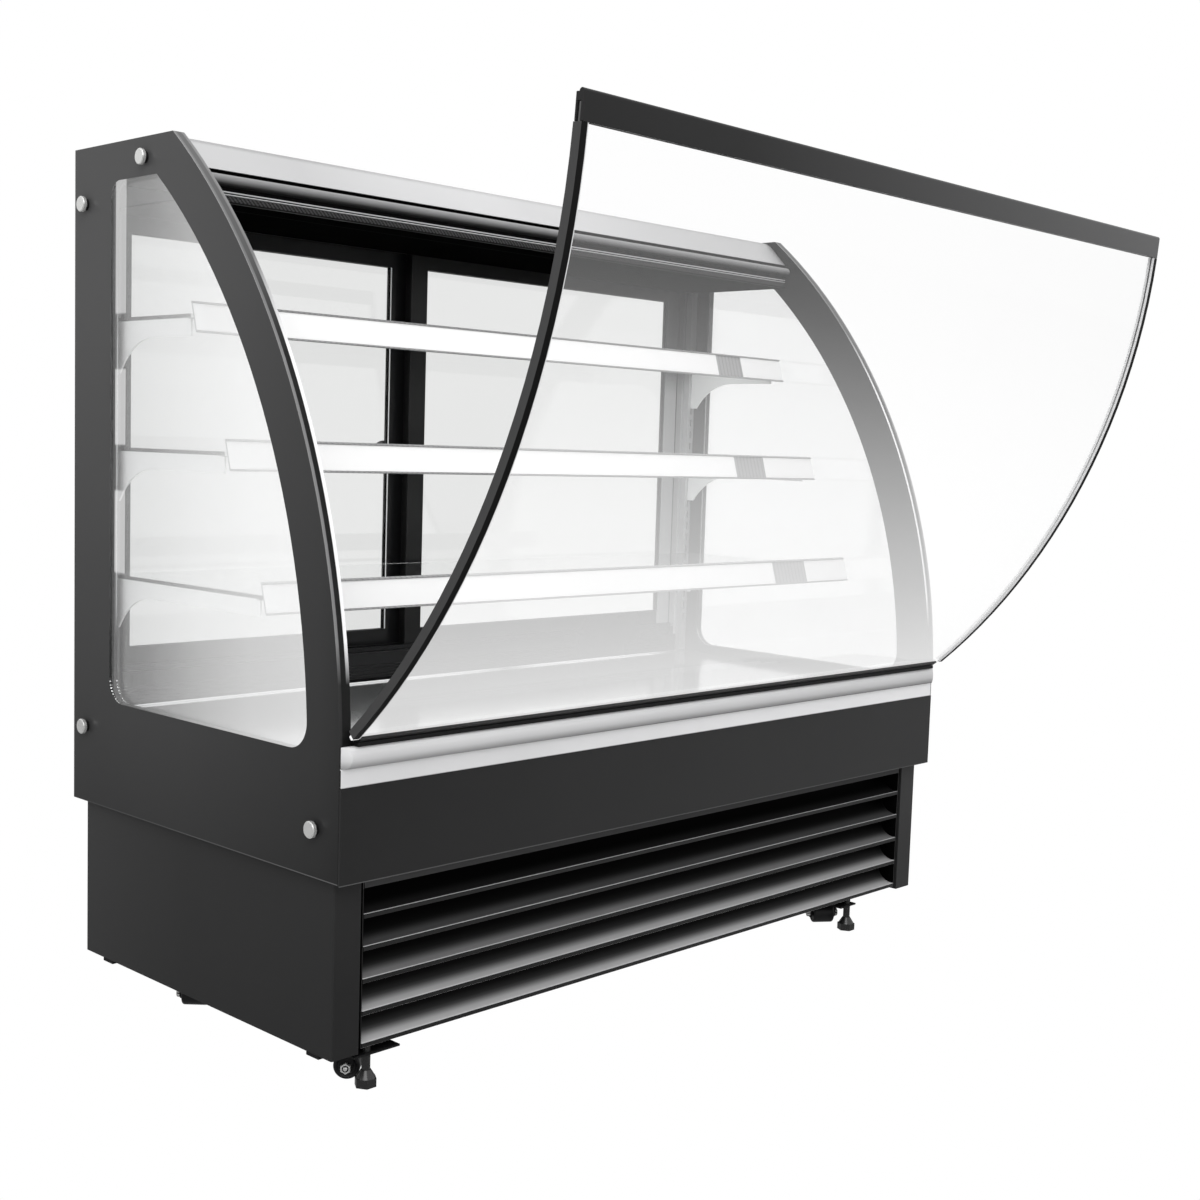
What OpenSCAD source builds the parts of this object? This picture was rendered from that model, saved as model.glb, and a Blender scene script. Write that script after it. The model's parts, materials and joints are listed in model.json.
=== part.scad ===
// Refrigerated bakery display case with a tilting curved front glass and two sliding rear doors.
// X runs along the case, Y from the customer's side to the rear, Z up from the floor.
// Outlines are drawn in the Y-Z plane, measured from the side panels' front edge and the floor.

/* [Cabinet] */
// Length over the glazed side panels
case_w = 1500; // [1300:10:2000]
// Depth of the side panels
panel_d = 732; // [712:1:760]
// Height of the side panels' lower edge above the floor
panel_z = 320; // [300:1:340]
// Height of the side panels
panel_h = 1075; // [1060:1:1100]
// Radius of the side panels' curved front edge
front_r = 1172; // [1120:1:1240]
// Height of the straight part of the front edge, below the curve
front_straight = 162; // [140:1:180]
// Thickness of a side panel, two panes and a spacer
panel_t = 20; // [16:1:24]
// Thickness of each pane of a side panel
side_pane_t = 5; // [4:0.5:6]
// Width of the printed border along the curved front
border_front = 75; // [50:1:90]
// Width of the printed border along the rear
border_rear = 115; // [90:1:120]
// Height of the printed border at the bottom
border_low = 178; // [165:1:190]
// Height of the printed border at the top
border_top = 60; // [40:1:80]
// Diameter of the chrome caps that hold the side panels
cap_d = 25; // [18:1:30]
// Height of a chrome cap
cap_h = 6; // [4:0.5:9]
// Height of the bush between a cap and the panel
bush_h = 6; // [3:0.5:9]

/* [Base] */
// Distance from a side panel's outer face inward to the base's side
base_inset = 12; // [6:1:20]
// Distance from the side panels' front edge back to the base
base_front = 22; // [15:1:40]
// Distance from the side panels' rear edge forward to the base's rear
base_back = 24; // [16:1:40]
// Thickness of the base's sheet steel
sheet_t = 2; // [1.5:0.5:3]
// Width of the front corner posts
post_w = 48; // [35:1:70]
// Outer radius of the front corner posts
post_r = 3; // [3:1:16]
// Number of louvre slats
slat_count = 5; // [3:1:5]
// Distance from one slat to the next
slat_pitch = 47.8; // [44:0.2:50]
// Radius of a slat's curve
slat_r = 34; // [26:1:38]
// Height of a slat's front lip
slat_lip = 7; // [5:0.5:10]
// Height of the plain strip above the slats
grille_head = 17; // [10:1:20]

/* [Front] */
// Height of the painted fascia
fascia_h = 137; // [120:1:145]
// Height of the bright strip above the fascia
strip_h = 27; // [15:1:40]
// Height of the rounded bumper rail
bumper_h = 31; // [20:1:36]
// How far the bumper rail stands out from the fascia
bumper_out = 11; // [8:0.5:16]
// Height of the hinge line of the front glass above the bumper rail
hinge_rise = 9; // [8.5:0.5:12]
// Angle by which the front glass stands open
glass_open = 52; // [40:1:56]
// Thickness of the front glass
glass_t = 6; // [5:0.5:8]
// Gap between a side panel's edge and the closed front seal
seal_gap = 1; // [0.5:0.1:2]
// Thickness of the front seal, across the glass
seal_t = 14; // [12:0.5:18]
// Width of the front seal, along the case
seal_w = 12; // [8:0.5:16]
// Angle on the front curve at which the glass ends, above the curve's centre
glass_top_angle = 47.6; // [46:0.1:48]
// Height of the black handle rail, along the glass
handle_h = 34; // [28:1:44]
// Depth by which the glass enters the handle rail
handle_grip = 23; // [15:1:24]

/* [Display] */
// Height of the stainless deck
deck_z = 480; // [466:1:482]
// Height of the top face of the lowest shelf
shelf_low_z = 706; // [686:26:758]
// Slot pitch of the shelf uprights
slot_pitch = 26; // [25:0.5:27]
// Slots from one shelf to the next
shelf_slots = 8; // [7:1:8]
// Thickness of a glass shelf
shelf_t = 6; // [5:0.5:8]
// Distance from the panel's front edge to the price strip of the lowest shelf
shelf_front_low = 218; // [200:1:260]
// The same distance for the middle shelf
shelf_front_mid = 315; // [290:1:340]
// The same distance for the top shelf
shelf_front_top = 410; // [395:1:430]
// Size of a shelf upright across and along the case
upright_s = 20; // [16:1:24]
// Depth of a shelf bracket where it hooks into the upright
bracket_root = 88; // [70:1:110]
// Depth of a shelf bracket along its front part
bracket_tip = 33; // [24:1:36]
// Thickness of a shelf bracket
bracket_t = 3; // [2:0.5:4]
// Run of the bracket's curved underside
bracket_curve = 100; // [60:1:120]
// Height of a price strip above the shelf's top face
strip_above = 17; // [10:1:22]
// Height of a price strip below the shelf's top face
strip_below = 27; // [20:1:34]
// How far a price strip's lower edge leans out
strip_lean = 13; // [4:1:20]

/* [Canopy and doors] */
// Height of the soffit above the floor
soffit_z = 1294; // [1280:1:1300]
// Distance from the panel's front edge to the top of the canopy's front slope
canopy_y = 455; // [450:1:480]
// Horizontal run of the canopy's front slope
slope_run = 49; // [40:1:52]
// Fall of the canopy's front slope
slope_fall = 49; // [40:1:52]
// Radius of the round rail under the slope
round_r = 9; // [6:0.5:9]
// Distance from the side panels' rear edge forward to the front door
door_back = 56; // [52:1:70]
// Thickness of a sliding door
door_t = 18; // [14:1:20]
// Width of a door's stiles
door_stile = 40; // [30:1:70]
// Height of a door's top and bottom rails
door_rail = 39; // [30:1:50]
// Distance from the case's centre to the left edge of the right-hand door
door_meet = 81; // [40:1:140]
// Overlap of the two doors where they meet
door_lap = 12; // [8:1:40]
// Width of a side jamb
jamb_w = 30; // [24:1:36]

/* [Castors and feet] */
// Distance from the base's left end to the left castors' swivel axis
castor_left = 73; // [66:1:140]
// Distance from the base's right end to the right castors' swivel axis
castor_right = 204; // [100:1:260]
// Distance from the panel's front edge to the front castors' swivel axis
castor_front = 90; // [86:1:99]
// Distance from the panel's front edge to the rear castors' swivel axis
castor_rear = 488; // [460:1:560]
// Diameter of a castor wheel
wheel_d = 40; // [36:1:42]
// Width of a castor wheel
wheel_w = 42; // [30:1:46]
// Distance from a castor's swivel axis back to its axle
castor_trail = 8; // [5:1:10]
// Diameter of a levelling foot's stem
foot_stem_d = 13; // [10:0.5:14]
// Distance across the corners of a levelling foot's hexagon
foot_hex_d = 34; // [28:1:36]
// Height to which the front wheels clear the floor once the feet are down
wheel_lift = 1; // [0.5:0.1:2]

/* [Hidden] */

// Colours of the main finishes
paint_c = [0.20, 0.20, 0.20];
black_c = [0.09, 0.09, 0.09];
steel_c = [0.75, 0.75, 0.75];
bright_c = [0.83, 0.83, 0.83];
zinc_c = [0.58, 0.58, 0.57];
white_c = [0.95, 0.95, 0.94];
glass_c = [0.85, 0.92, 0.93, 0.35];

// Clearance between faces of pieces that move against each other
run_gap = 0.3;
// Clearance round glass in a frame, and between pieces that only rest on each other
fit_gap = 0.2;
// Steps used for large and for small true circles
big_fn = 360;
small_fn = 48;

half_w = case_w / 2;
inner_x = half_w - panel_t;
panel_top = panel_z + panel_h;
arc_y = front_r;
arc_z = panel_z + front_straight;
base_top = panel_z;
base_rear = panel_d - base_back;
base_x = half_w - base_inset;
fascia_y = -4;
fascia_top = panel_z + fascia_h;
bumper_z = fascia_top + strip_h;
bumper_top = bumper_z + bumper_h;
trim_x = half_w - 9;

// The row's origin lies under the middle of the footprint, with the front glass open
origin_y = 150;

// Hinge line of the front glass
knuckle_r = 4;
hinge_y = -6;
hinge_z = bumper_top + hinge_rise;
// Radii of the closed glass and its seal about the front curve's centre
seal_r0 = front_r + seal_gap;
seal_r1 = seal_r0 + seal_t;
pane_r0 = seal_r0 + (seal_t - glass_t) / 2;
pane_r1 = pane_r0 + glass_t;
pane_mid = (pane_r0 + pane_r1) / 2;
pane_x = half_w - 8;
seal_x = half_w - 4;
pane_low = asin((hinge_z + 8 - arc_z) / pane_mid);
seal_low = asin((hinge_z + 17 - arc_z) / pane_mid);
handle_low = glass_top_angle - handle_grip / pane_mid * 180 / PI;

// Openings and edges of the display space
tub_wall = 30;
tub_top = deck_z - 4;
tub_front = 8;
deck_front = tub_front + 22;
door_plane = panel_d - door_back;
track_gap = 9;
rear_plane = door_plane + door_t;
sill_z = deck_z + 38;
sill_t = 16;
track_lip = 10;
leaf_z = sill_z + sill_t + run_gap;
leaf_top = soffit_z + 14;
leaf_x = inner_x - jamb_w - 3;
upright_y = door_plane - 28;
upright_d = 14;
jamb_front = upright_y + upright_d + fit_gap;
shelf_rear = upright_y - 2;
shelf_x = inner_x - 4;
shelf_step = slot_pitch * shelf_slots;
shelf_z = [for (i = [0:2]) shelf_low_z + i * shelf_step];
shelf_front = [shelf_front_low, shelf_front_mid, shelf_front_top];
// Start and end of the bare stretch between the paper inserts, low, middle and top
insert_bare = [[480, 585], [465, 560], [510, 590]];
// Chrome caps, as distance from the front edge and height
cap_at = [[515, panel_top - 32], [panel_d - 37, panel_top - 90], [panel_d - 42, panel_z + 128],
  [53, panel_z + 71]];

// Castor layout: swivel axis, heading of the trailing wheel, height at which the wheel stands
axle_z = wheel_d / 2;
plate_z = wheel_d + 9;
plate_t = 3;
// Cross rails of the chassis stand on the castor plates and carry the floor pan
rail_h = 5;
base_z = plate_z + plate_t + rail_h;
castor_x = [castor_left - base_x, base_x - castor_right];
castor_at = [[castor_x[0], castor_front], [castor_x[1], castor_front], [castor_x[0], castor_rear],
  [castor_x[1], castor_rear]];
castor_heading = [-46, 54, 44, 20];
castor_lift = [wheel_lift, wheel_lift, 0, 0];
foot_side = [0, 4];
foot_ahead = 54;
foot_plate_y = castor_front - foot_ahead;
foot_thread = rail_h + slat_lip - sheet_t;
// How far each castor's plate reaches left and right of the swivel axis
plate_reach = [[30, 55], [30, 20], [30, 30], [30, 30]];

// Machine bay
pan_z = base_z;
bay_z = pan_z + 3;
coil_x = -320;
coil_y = 112;
coil_t = 40;
coil_w = 400;
coil_h = 220;
fan_r = 95;
fan_z = bay_z + coil_h / 2;
shroud_depth = 50;
tub_in = [tub_front + tub_wall, upright_y - 8];
evap_low = base_top + tub_wall;
evap_x = -180;
evap_size = [560, 80, 90];
evap_fan_r = 44;
evap_fan_z = evap_low + evap_fan_r + 8;
evap_y = tub_in[1] - 260;
evap_duct = 60;

// Outline helpers. Unit vector, left-hand normal and mitred offset of a point on a path
function unit(v) = v / norm(v);
function left_of(a, b) = let (d = unit(b - a)) [-d[1], d[0]];
function mitre(p, i, s) = let (
    last = len(p) - 1,
    a = i == 0 ? left_of(p[0], p[1]) : left_of(p[i - 1], p[i]),
    b = i == last ? a : left_of(p[i], p[i + 1]),
    m = unit(a + b)
  ) p[i] + m * s / (m * a);
// Closed outline of a folded sheet: the path and its offset to the left
function folded(path, t) = concat(path, [for (i = [len(path) - 1:-1:0]) mitre(path, i, t)]);
// Points along a circular arc
function arc(c, r, a0, a1, n = 6) = [for (i = [0:n]) let (a = a0 + (a1 - a0) * i / n)
  c + r * [cos(a), sin(a)]];
// Point on the front curve: radius from its centre and angle above it
function on_front(r, a) = [arc_y - r * cos(a), arc_z + r * sin(a)];
// Distance of the curve of radius r from the front edge at height z
function front_at(r, z) = arc_y - sqrt(r * r - (z - arc_z) * (z - arc_z));

// Block between two corners
module block(a, b) {
  translate(a) cube(b - a);
}

// Outline in Y-Z carried along X from x0 to x1
module along_x(x0, x1) {
  translate([x0, 0, 0]) rotate([90, 0, 90]) linear_extrude(x1 - x0) children();
}

// Outline in X-Z carried along Y from y0 to y1
module along_y(y0, y1) {
  translate([0, y1, 0]) rotate([90, 0, 0]) linear_extrude(y1 - y0) children();
}

// Outline in X-Y carried up from z0 to z1
module along_z(z0, z1) {
  translate([0, 0, z0]) linear_extrude(z1 - z0) children();
}

module both_sides() {
  children();
  mirror([1, 0, 0]) children();
}

// Everything is drawn from the front edge, and set over the row's origin
module placed() {
  translate([0, -origin_y, 0]) children();
}

// The closed front glass, tilted out about its hinge line
module tilted_open() {
  translate([0, hinge_y, hinge_z]) rotate([glass_open, 0, 0]) translate([0, -hinge_y, -hinge_z])
    children();
}

// Ring sector about the front curve's centre, between two radii and two angles
module front_sector(r0, r1, a0, a1) {
  mid = (a0 + a1) / 2;
  intersection() {
    translate([arc_y, arc_z]) difference() {
      circle(r1, $fn = big_fn);
      circle(r0, $fn = big_fn);
    }
    polygon([[arc_y, arc_z], on_front(2 * r1, a0), on_front(2 * r1, mid), on_front(2 * r1, a1)]);
  }
}

// Outline of a side panel: a rectangle under a curved front
module panel_outline() {
  intersection() {
    translate([0, panel_z]) square([panel_d, panel_h]);
    union() {
      translate([arc_y, arc_z]) circle(front_r, $fn = big_fn);
      translate([0, panel_z]) square([panel_d, front_straight]);
    }
  }
}

// What a rounded corner loses, with the corner at the origin and its sides along +X and +Y
round_step = 0.05;

module corner_loss(r) {
  c = r + round_step;
  difference() {
    translate([-4, -4]) square(c + 4);
    translate([c, c]) circle(r, $fn = small_fn);
  }
}

window_r = front_r - border_front;
window_low = panel_z + border_low;
window_top = panel_top - border_top;
window_rear = panel_d - border_rear;
window_low_r = 40;
window_top_r = 26;

// Outline of the clear window in a side panel. Its lower front corner runs into the curve
module window_outline() {
  inner_r = window_r - window_low_r - round_step;
  fz = window_low + window_low_r + round_step;
  f = [front_at(inner_r, fz), fz];
  out = unit(f - [arc_y, arc_z]);
  far = window_low_r + 8;
  difference() {
    intersection() {
      translate([0, window_low]) square([window_rear, window_top - window_low]);
      translate([arc_y, arc_z]) circle(window_r, $fn = big_fn);
    }
    difference() {
      polygon([f, f + far * out, f - [far, far], f - [0, far]]);
      translate(f) circle(window_low_r, $fn = small_fn);
    }
    translate([window_rear, window_low]) mirror([1, 0]) corner_loss(window_low_r);
    translate([window_rear, window_top]) rotate(180) corner_loss(window_top_r);
  }
}

module side_border() {
  along_x(inner_x, half_w) difference() {
    panel_outline();
    window_outline();
  }
}

module side_window() {
  along_x(half_w - side_pane_t, half_w) window_outline();
  along_x(inner_x, inner_x + side_pane_t) window_outline();
}

module side_fixing_caps() {
  color(bright_c) both_sides() for (p = cap_at)
    translate([half_w + bush_h, p[0], p[1]]) rotate([0, 90, 0]) {
      cylinder(cap_h - 1, d = cap_d, $fn = small_fn);
      translate([0, 0, cap_h - 1]) cylinder(1, d = cap_d - 2, $fn = small_fn);
    }
}

module side_fixing_bushes() {
  color(black_c) both_sides() for (p = cap_at)
    translate([half_w, p[0], p[1]]) rotate([0, 90, 0])
      cylinder(bush_h, d = cap_d - 7, $fn = small_fn);
}

// Chassis: floor pan with two cross rails whose ends show below the base's sides
rail_front = [53, 82];
rail_rear = [base_rear - 84, base_rear - 55];

module chassis_frame() {
  front = base_front + 46;
  rear = base_rear - sheet_t - fit_gap;
  side = base_x - sheet_t - fit_gap;
  color(black_c) {
    block([-side, front, pan_z], [side, rear, bay_z]);
    block([-side, front, pan_z], [side, front + 3, bay_z + 14]);
    block([-side, rear - 3, pan_z], [side, rear, bay_z + 14]);
    for (r = [rail_front, rail_rear])
      block([-base_x, r[0], pan_z - rail_h], [base_x, r[1], pan_z]);
  }
}

// Plate that carries a castor and, at the front, a levelling foot
module castor_plate(i) {
  front = i < 2;
  c = castor_at[i];
  y0 = front ? foot_plate_y - 10 : c[1] - 34;
  y1 = c[1] + 34;
  leg_y = front ? rail_front[1] + fit_gap : y0;
  x0 = c[0] - plate_reach[i][0];
  x1 = c[0] + plate_reach[i][1];
  difference() {
    union() {
      block([x0, y0, plate_z], [x1, y1, plate_z + plate_t]);
      for (x = [x0, x1 - 3]) block([x, leg_y, plate_z + plate_t], [x + 3, y1, pan_z]);
    }
    if (front) translate([c[0] + foot_side[i], foot_plate_y, plate_z - 1])
      cylinder(plate_t + 2, d = foot_stem_d + 2 * fit_gap, $fn = small_fn);
  }
}

module castor_plates() {
  color(black_c) for (i = [0:3]) castor_plate(i);
}

module castor_fork(i) {
  head_z = plate_z - run_gap;
  cheek = wheel_w / 2 + 1.5;
  z = axle_z + castor_lift[i];
  translate([castor_at[i][0], castor_at[i][1], 0]) rotate(castor_heading[i]) {
    translate([0, 0, head_z - 3]) cylinder(3, d = 34, $fn = small_fn);
    block([-15, -cheek - 3, head_z - 6], [castor_trail + 10, cheek + 3, head_z - 3]);
    for (s = [-1, 1]) scale([1, s, 1]) {
      translate([castor_trail, cheek + 3, z]) rotate([90, 0, 0]) cylinder(3, r = 10, $fn = small_fn);
      block([castor_trail - 10, cheek, z], [castor_trail + 10, cheek + 3, head_z - 4]);
      translate([castor_trail, cheek + 8, z]) rotate([90, 0, 0]) cylinder(5, d = nut_d, $fn = 6);
      if (i < 2) along_y(pedal_w + 0.5, pedal_w + 3.5)
        polygon([[castor_trail + 8, head_z - 5.9], [castor_trail + 8, head_z - 3],
          [pedal_pivot[0] + 4, head_z - 3], [pedal_pivot[0] + 4, pedal_pivot[1] - 3.5],
          [pedal_pivot[0] - 2, pedal_pivot[1] - 3.5], [pedal_pivot[0] - 3.5, head_z - 5.9]]);
    }
    translate([castor_trail, cheek + 1, z]) rotate([90, 0, 0])
      cylinder(2 * cheek + 2, d = 6, $fn = small_fn);
    if (i < 2) translate([pedal_pivot[0], pedal_w + 2, pedal_pivot[1]]) rotate([90, 0, 0])
      cylinder(2 * pedal_w + 4, d = 4, $fn = small_fn);
  }
}

// Wheel with a rounded tread, a sunk web and a bored hub
module castor_wheel(i) {
  r = wheel_d / 2;
  w = wheel_w / 2;
  round = 4;
  translate([castor_at[i][0], castor_at[i][1], 0]) rotate(castor_heading[i])
    translate([castor_trail, 0, axle_z + castor_lift[i]]) rotate([90, 0, 0])
      rotate_extrude($fn = small_fn)
        polygon(concat([[3 + run_gap / 3, -w - 1], [7, -w - 1], [7, -w + 1.5], [r - 7, -w + 1.5]],
          arc([r - round, -w + round], round, -90, 0), arc([r - round, w - round], round, 0, 90),
          [[r - 7, w - 1.5], [7, w - 1.5], [7, w + 1], [3 + run_gap / 3, w + 1]]));
}

// Brake pedal over the trailing side of a front castor, on a pin between the fork's ears
pedal_reach = 45;
pedal_w = 12;
nut_d = 16;
pedal_pivot = [castor_trail + 15, plate_z - 8];

module brake_pedal(i) {
  x = pedal_pivot[0];
  z = pedal_pivot[1];
  translate([castor_at[i][0], castor_at[i][1], 0]) rotate(castor_heading[i]) along_y(-pedal_w, pedal_w)
    difference() {
      union() {
        translate(pedal_pivot) circle(4, $fn = small_fn);
        polygon(folded([[x, z - 3], [x + 9, z - 5], [pedal_reach - 9, z - 3], [pedal_reach, z + 3]], 3));
      }
      translate(pedal_pivot) circle(2 + run_gap, $fn = small_fn);
    }
}

// Levelling foot: hexagon, cone and threaded stem
module levelling_foot(i) {
  stem_top = plate_z + plate_t + foot_thread;
  hex_h = 13;
  cone_top = hex_h + 12;
  translate([castor_at[i][0] + foot_side[i], foot_plate_y, 0]) {
    cylinder(hex_h, d = foot_hex_d, $fn = 6);
    rotate_extrude($fn = small_fn)
      polygon([[0, hex_h], [foot_hex_d * 0.44, hex_h], [foot_stem_d / 2 + 1, cone_top],
        [foot_stem_d / 2, cone_top], [foot_stem_d / 2, stem_top], [0, stem_top]]);
  }
}

// Side of the base, wrapped round its front corner to make the post
module base_side() {
  color(paint_c) along_z(base_z, base_top)
    polygon(folded(concat([[base_x, base_rear]],
      arc([base_x - post_r, base_front + post_r], post_r, 0, -90),
      [[base_x - post_w, base_front], [base_x - post_w, base_front + 24]]), -sheet_t));
}

// Rear of the base, with two fields of air slots
slot_rows = 8;
slot_fields = [-560, -180];
slot_len = 320;
slot_h = 6;
slot_row = 20;
gland_at = [base_x - 60, base_z + 40];

module base_rear_panel() {
  color(paint_c) difference() {
    block([-base_x + sheet_t, base_rear - sheet_t, base_z], [base_x - sheet_t, base_rear, base_top]);
    for (x = slot_fields, i = [0:slot_rows - 1]) let (z = base_z + 50 + i * slot_row)
      block([x, base_rear - 10, z], [x + slot_len, base_rear + 10, z + slot_h]);
    translate([gland_at[0], base_rear + 1, gland_at[1]]) rotate([90, 0, 0])
      cylinder(20, d = 22, $fn = small_fn);
  }
}

// Curved slats between two side channels, under a plain strip
slat_x = base_x - post_w - 1;

module slat_outline(z) {
  back = base_front + 8;
  translate([back, z + slat_r]) intersection() {
    difference() {
      circle(slat_r, $fn = 96);
      circle(slat_r - sheet_t, $fn = 96);
    }
    translate([0, -slat_r]) square(slat_r);
  }
  translate([base_front + 2, z]) square([back - base_front - 2, sheet_t]);
  translate([base_front + 2, z - slat_lip + sheet_t]) square([sheet_t, slat_lip]);
}

module louvre_grille() {
  depth = base_front + 8 + slat_r + 1;
  color(paint_c) {
    along_x(-slat_x + 6, slat_x - 6) for (i = [0:slat_count - 1])
      slat_outline(base_z + slat_lip - sheet_t + 1 + i * slat_pitch);
    both_sides() block([slat_x - 6, base_front + 3, base_z + 1], [slat_x - 4, depth, base_top]);
    block([-slat_x + 6, base_front + 2, base_top - grille_head], [slat_x - 6, base_front + 4, base_top]);
  }
}

// Hermetic compressor on its feet, with its terminal box and pipes
comp_at = [400, 330];
comp_r = 78;

module compressor() {
  color(black_c) translate([comp_at[0], comp_at[1], 0]) {
    rotate_extrude($fn = 64)
      polygon(concat([[0, bay_z + 14]], arc([comp_r - 30, bay_z + 44], 30, -90, 0),
        [[comp_r, bay_z + 96], [comp_r + 4, bay_z + 96], [comp_r + 4, bay_z + 102], [comp_r, bay_z + 102]],
        arc([comp_r - 50, bay_z + 132], 50, 0, 90), [[0, bay_z + 182]]));
    for (x = [-1, 1], y = [-1, 1]) {
      translate([x * 84, y * 62, bay_z]) cylinder(15, d = 24, $fn = small_fn);
      block([min(0, x * 98), y * 50 - 22, bay_z + 15], [max(0, x * 98), y * 50 + 22, bay_z + 18]);
    }
    block([-30, -comp_r - 26, bay_z + 60], [30, -comp_r + 12, bay_z + 120]);
    translate([0, 0, bay_z + 175]) cylinder(40, d = 10, $fn = small_fn);
  }
}

// Finned coil with its end plates and return bends
module finned_coil(x, y, z, w, d, h, fins, rows) {
  block([x - w / 2, y, z], [x - w / 2 + 2, y + d, z + h]);
  block([x + w / 2 - 2, y, z], [x + w / 2, y + d, z + h]);
  for (i = [1:fins]) let (fx = x - w / 2 + i * w / (fins + 1))
    block([fx, y + 2, z + 4], [fx + 1, y + d - 2, z + h - 4]);
  for (j = [0:rows - 1], k = [-1, 1]) let (tz = z + h * (j + 0.5) / rows)
    translate([x - w / 2 - 8, y + d / 2 + k * d / 4, tz]) rotate([0, 90, 0])
      cylinder(w + 16, d = 9, $fn = small_fn);
}

module condenser_coil() {
  color(zinc_c) finned_coil(coil_x, coil_y, bay_z, coil_w, coil_t, coil_h, 15, 5);
}

// Bracketed fan motor in a plate with a round mouth
module fan_shroud(x, y, z0, z1, w, r, fz, depth) {
  difference() {
    block([x - w / 2, y, z0], [x + w / 2, y + 2, z1]);
    translate([x, y - 1, fz]) rotate([-90, 0, 0]) cylinder(4, r = r + 4, $fn = small_fn);
  }
  difference() {
    translate([x, y + 2, fz]) rotate([-90, 0, 0]) cylinder(depth, r = r + 6, $fn = small_fn);
    translate([x, y + 1, fz]) rotate([-90, 0, 0]) cylinder(depth + 2, r = r + 4, $fn = small_fn);
  }
  for (s = [0, 90]) translate([x, y + depth, fz]) rotate([0, s, 0])
    block([-r - 5, -1, -4], [r + 5, 2, 4]);
  translate([x, y + depth - 3, fz]) rotate([-90, 0, 0]) cylinder(r * 0.35, r = r * 0.3, $fn = small_fn);
  translate([x, y + 6, fz]) rotate([-90, 0, 0]) cylinder(depth - 8, d = 6, $fn = small_fn);
}

// Fan wheel with pitched blades on a bored hub
module fan_wheel(x, y, z, r, depth, blades) {
  translate([x, y, z]) rotate([-90, 0, 0]) difference() {
    union() {
      cylinder(depth, r = r * 0.26, $fn = small_fn);
      intersection() {
        cylinder(depth, r = r, $fn = 96);
        for (i = [0:blades - 1]) rotate(i * 360 / blades)
          translate([r / 2, 0, depth / 2]) rotate([28, 0, 0]) cube([r, r * 0.62, 1.6], center = true);
      }
    }
    translate([0, 0, -1]) cylinder(depth + 2, r = 3 + run_gap, $fn = small_fn);
  }
}

shroud_y = coil_y + coil_t;

module condenser_fan_shroud() {
  color(black_c)
    fan_shroud(coil_x, shroud_y, bay_z, bay_z + coil_h, coil_w, fan_r, fan_z, shroud_depth);
}

module condenser_fan_blade() {
  color(black_c) fan_wheel(coil_x, shroud_y + 12, fan_z, fan_r, 26, 5);
}

// Tray that evaporates the defrost water
tray_size = [280, 140, 46];
tray_at = [-110, base_rear - 98 - tray_size[1]];

module drain_tray() {
  t = 2;
  color(zinc_c) translate([tray_at[0], tray_at[1], bay_z]) difference() {
    cube(tray_size);
    translate([t, t, t]) cube([tray_size[0] - 2 * t, tray_size[1] - 2 * t, tray_size[2]]);
  }
}

// Insulated tub under the deck, with a thick rear that carries the door sill
drain_at = [tray_at[0] + tray_size[0] / 2, tray_at[1] + tray_size[1] / 2];

module tub_shell() {
  color(steel_c) difference() {
    union() {
      block([-inner_x, tub_front, base_top], [inner_x, panel_d - 4, tub_top]);
      block([-inner_x, jamb_front + 4, tub_top], [inner_x, panel_d - 4, sill_z]);
    }
    block([-inner_x + tub_wall, tub_in[0], base_top + tub_wall],
      [inner_x - tub_wall, tub_in[1], tub_top + 1]);
    translate([drain_at[0], drain_at[1], base_top - 1]) cylinder(tub_wall + 2, d = 26, $fn = small_fn);
  }
}

module evaporator_coil() {
  color(zinc_c)
    finned_coil(evap_x, evap_y + evap_duct, evap_low, evap_size[0], evap_size[1], evap_size[2], 19, 3);
}

module evaporator_fan_plate() {
  color(steel_c) fan_shroud(evap_x, evap_y, evap_low, tub_top - 6, evap_size[0], evap_fan_r, evap_fan_z,
    evap_duct / 2);
}

module evaporator_fan_blade() {
  color(black_c) fan_wheel(evap_x, evap_y + 6, evap_fan_z, evap_fan_r, 16, 5);
}

// Two stainless deck pans that meet in the middle, each with a rear lip
module deck_pans() {
  rear = upright_y - sheet_t - fit_gap;
  color(steel_c) both_sides() {
    along_x(0.5, shelf_x) polygon(folded([[deck_front, tub_top], [deck_front, deck_z],
      [rear, deck_z], [rear, deck_z + 3]], -sheet_t));
    block([shelf_x - sheet_t, deck_front + 3, tub_top], [shelf_x, rear - 12, deck_z - sheet_t]);
  }
}

// Black ribbed wall between the deck's air slot and the door sill
duct_top = sill_z + sill_t + 2;
duct_ribs = 5;
duct_rib_pitch = 6;

module rear_duct_cover() {
  y = jamb_front;
  end = inner_x - jamb_w - fit_gap;
  color(black_c) along_x(-end, end) {
    polygon(folded([[y, tub_top + fit_gap], [y, duct_top], [door_plane - 7, duct_top]], -1.5));
    for (i = [0:duct_ribs - 1]) translate([y - 2, deck_z + 5 + i * duct_rib_pitch]) square([2.5, 2]);
  }
}

// Fascia: a shallow tray whose four lips reach back to the side panels' edges
tray_back = -fit_gap;

module front_fascia() {
  x = half_w - 5;
  color(paint_c) {
    along_x(-x, x) polygon(folded([[tray_back, fascia_top], [fascia_y, fascia_top], [fascia_y, panel_z - 2],
      [tray_back, panel_z - 2]], sheet_t));
    both_sides() block([x - sheet_t, fascia_y, panel_z - 2], [x, tray_back, fascia_top]);
  }
}

module front_trim_strip() {
  color(bright_c) along_x(-trim_x, trim_x) polygon(folded([[tray_back, bumper_z],
    [fascia_y, bumper_z], [fascia_y, fascia_top + fit_gap]], 1.5));
}

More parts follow.
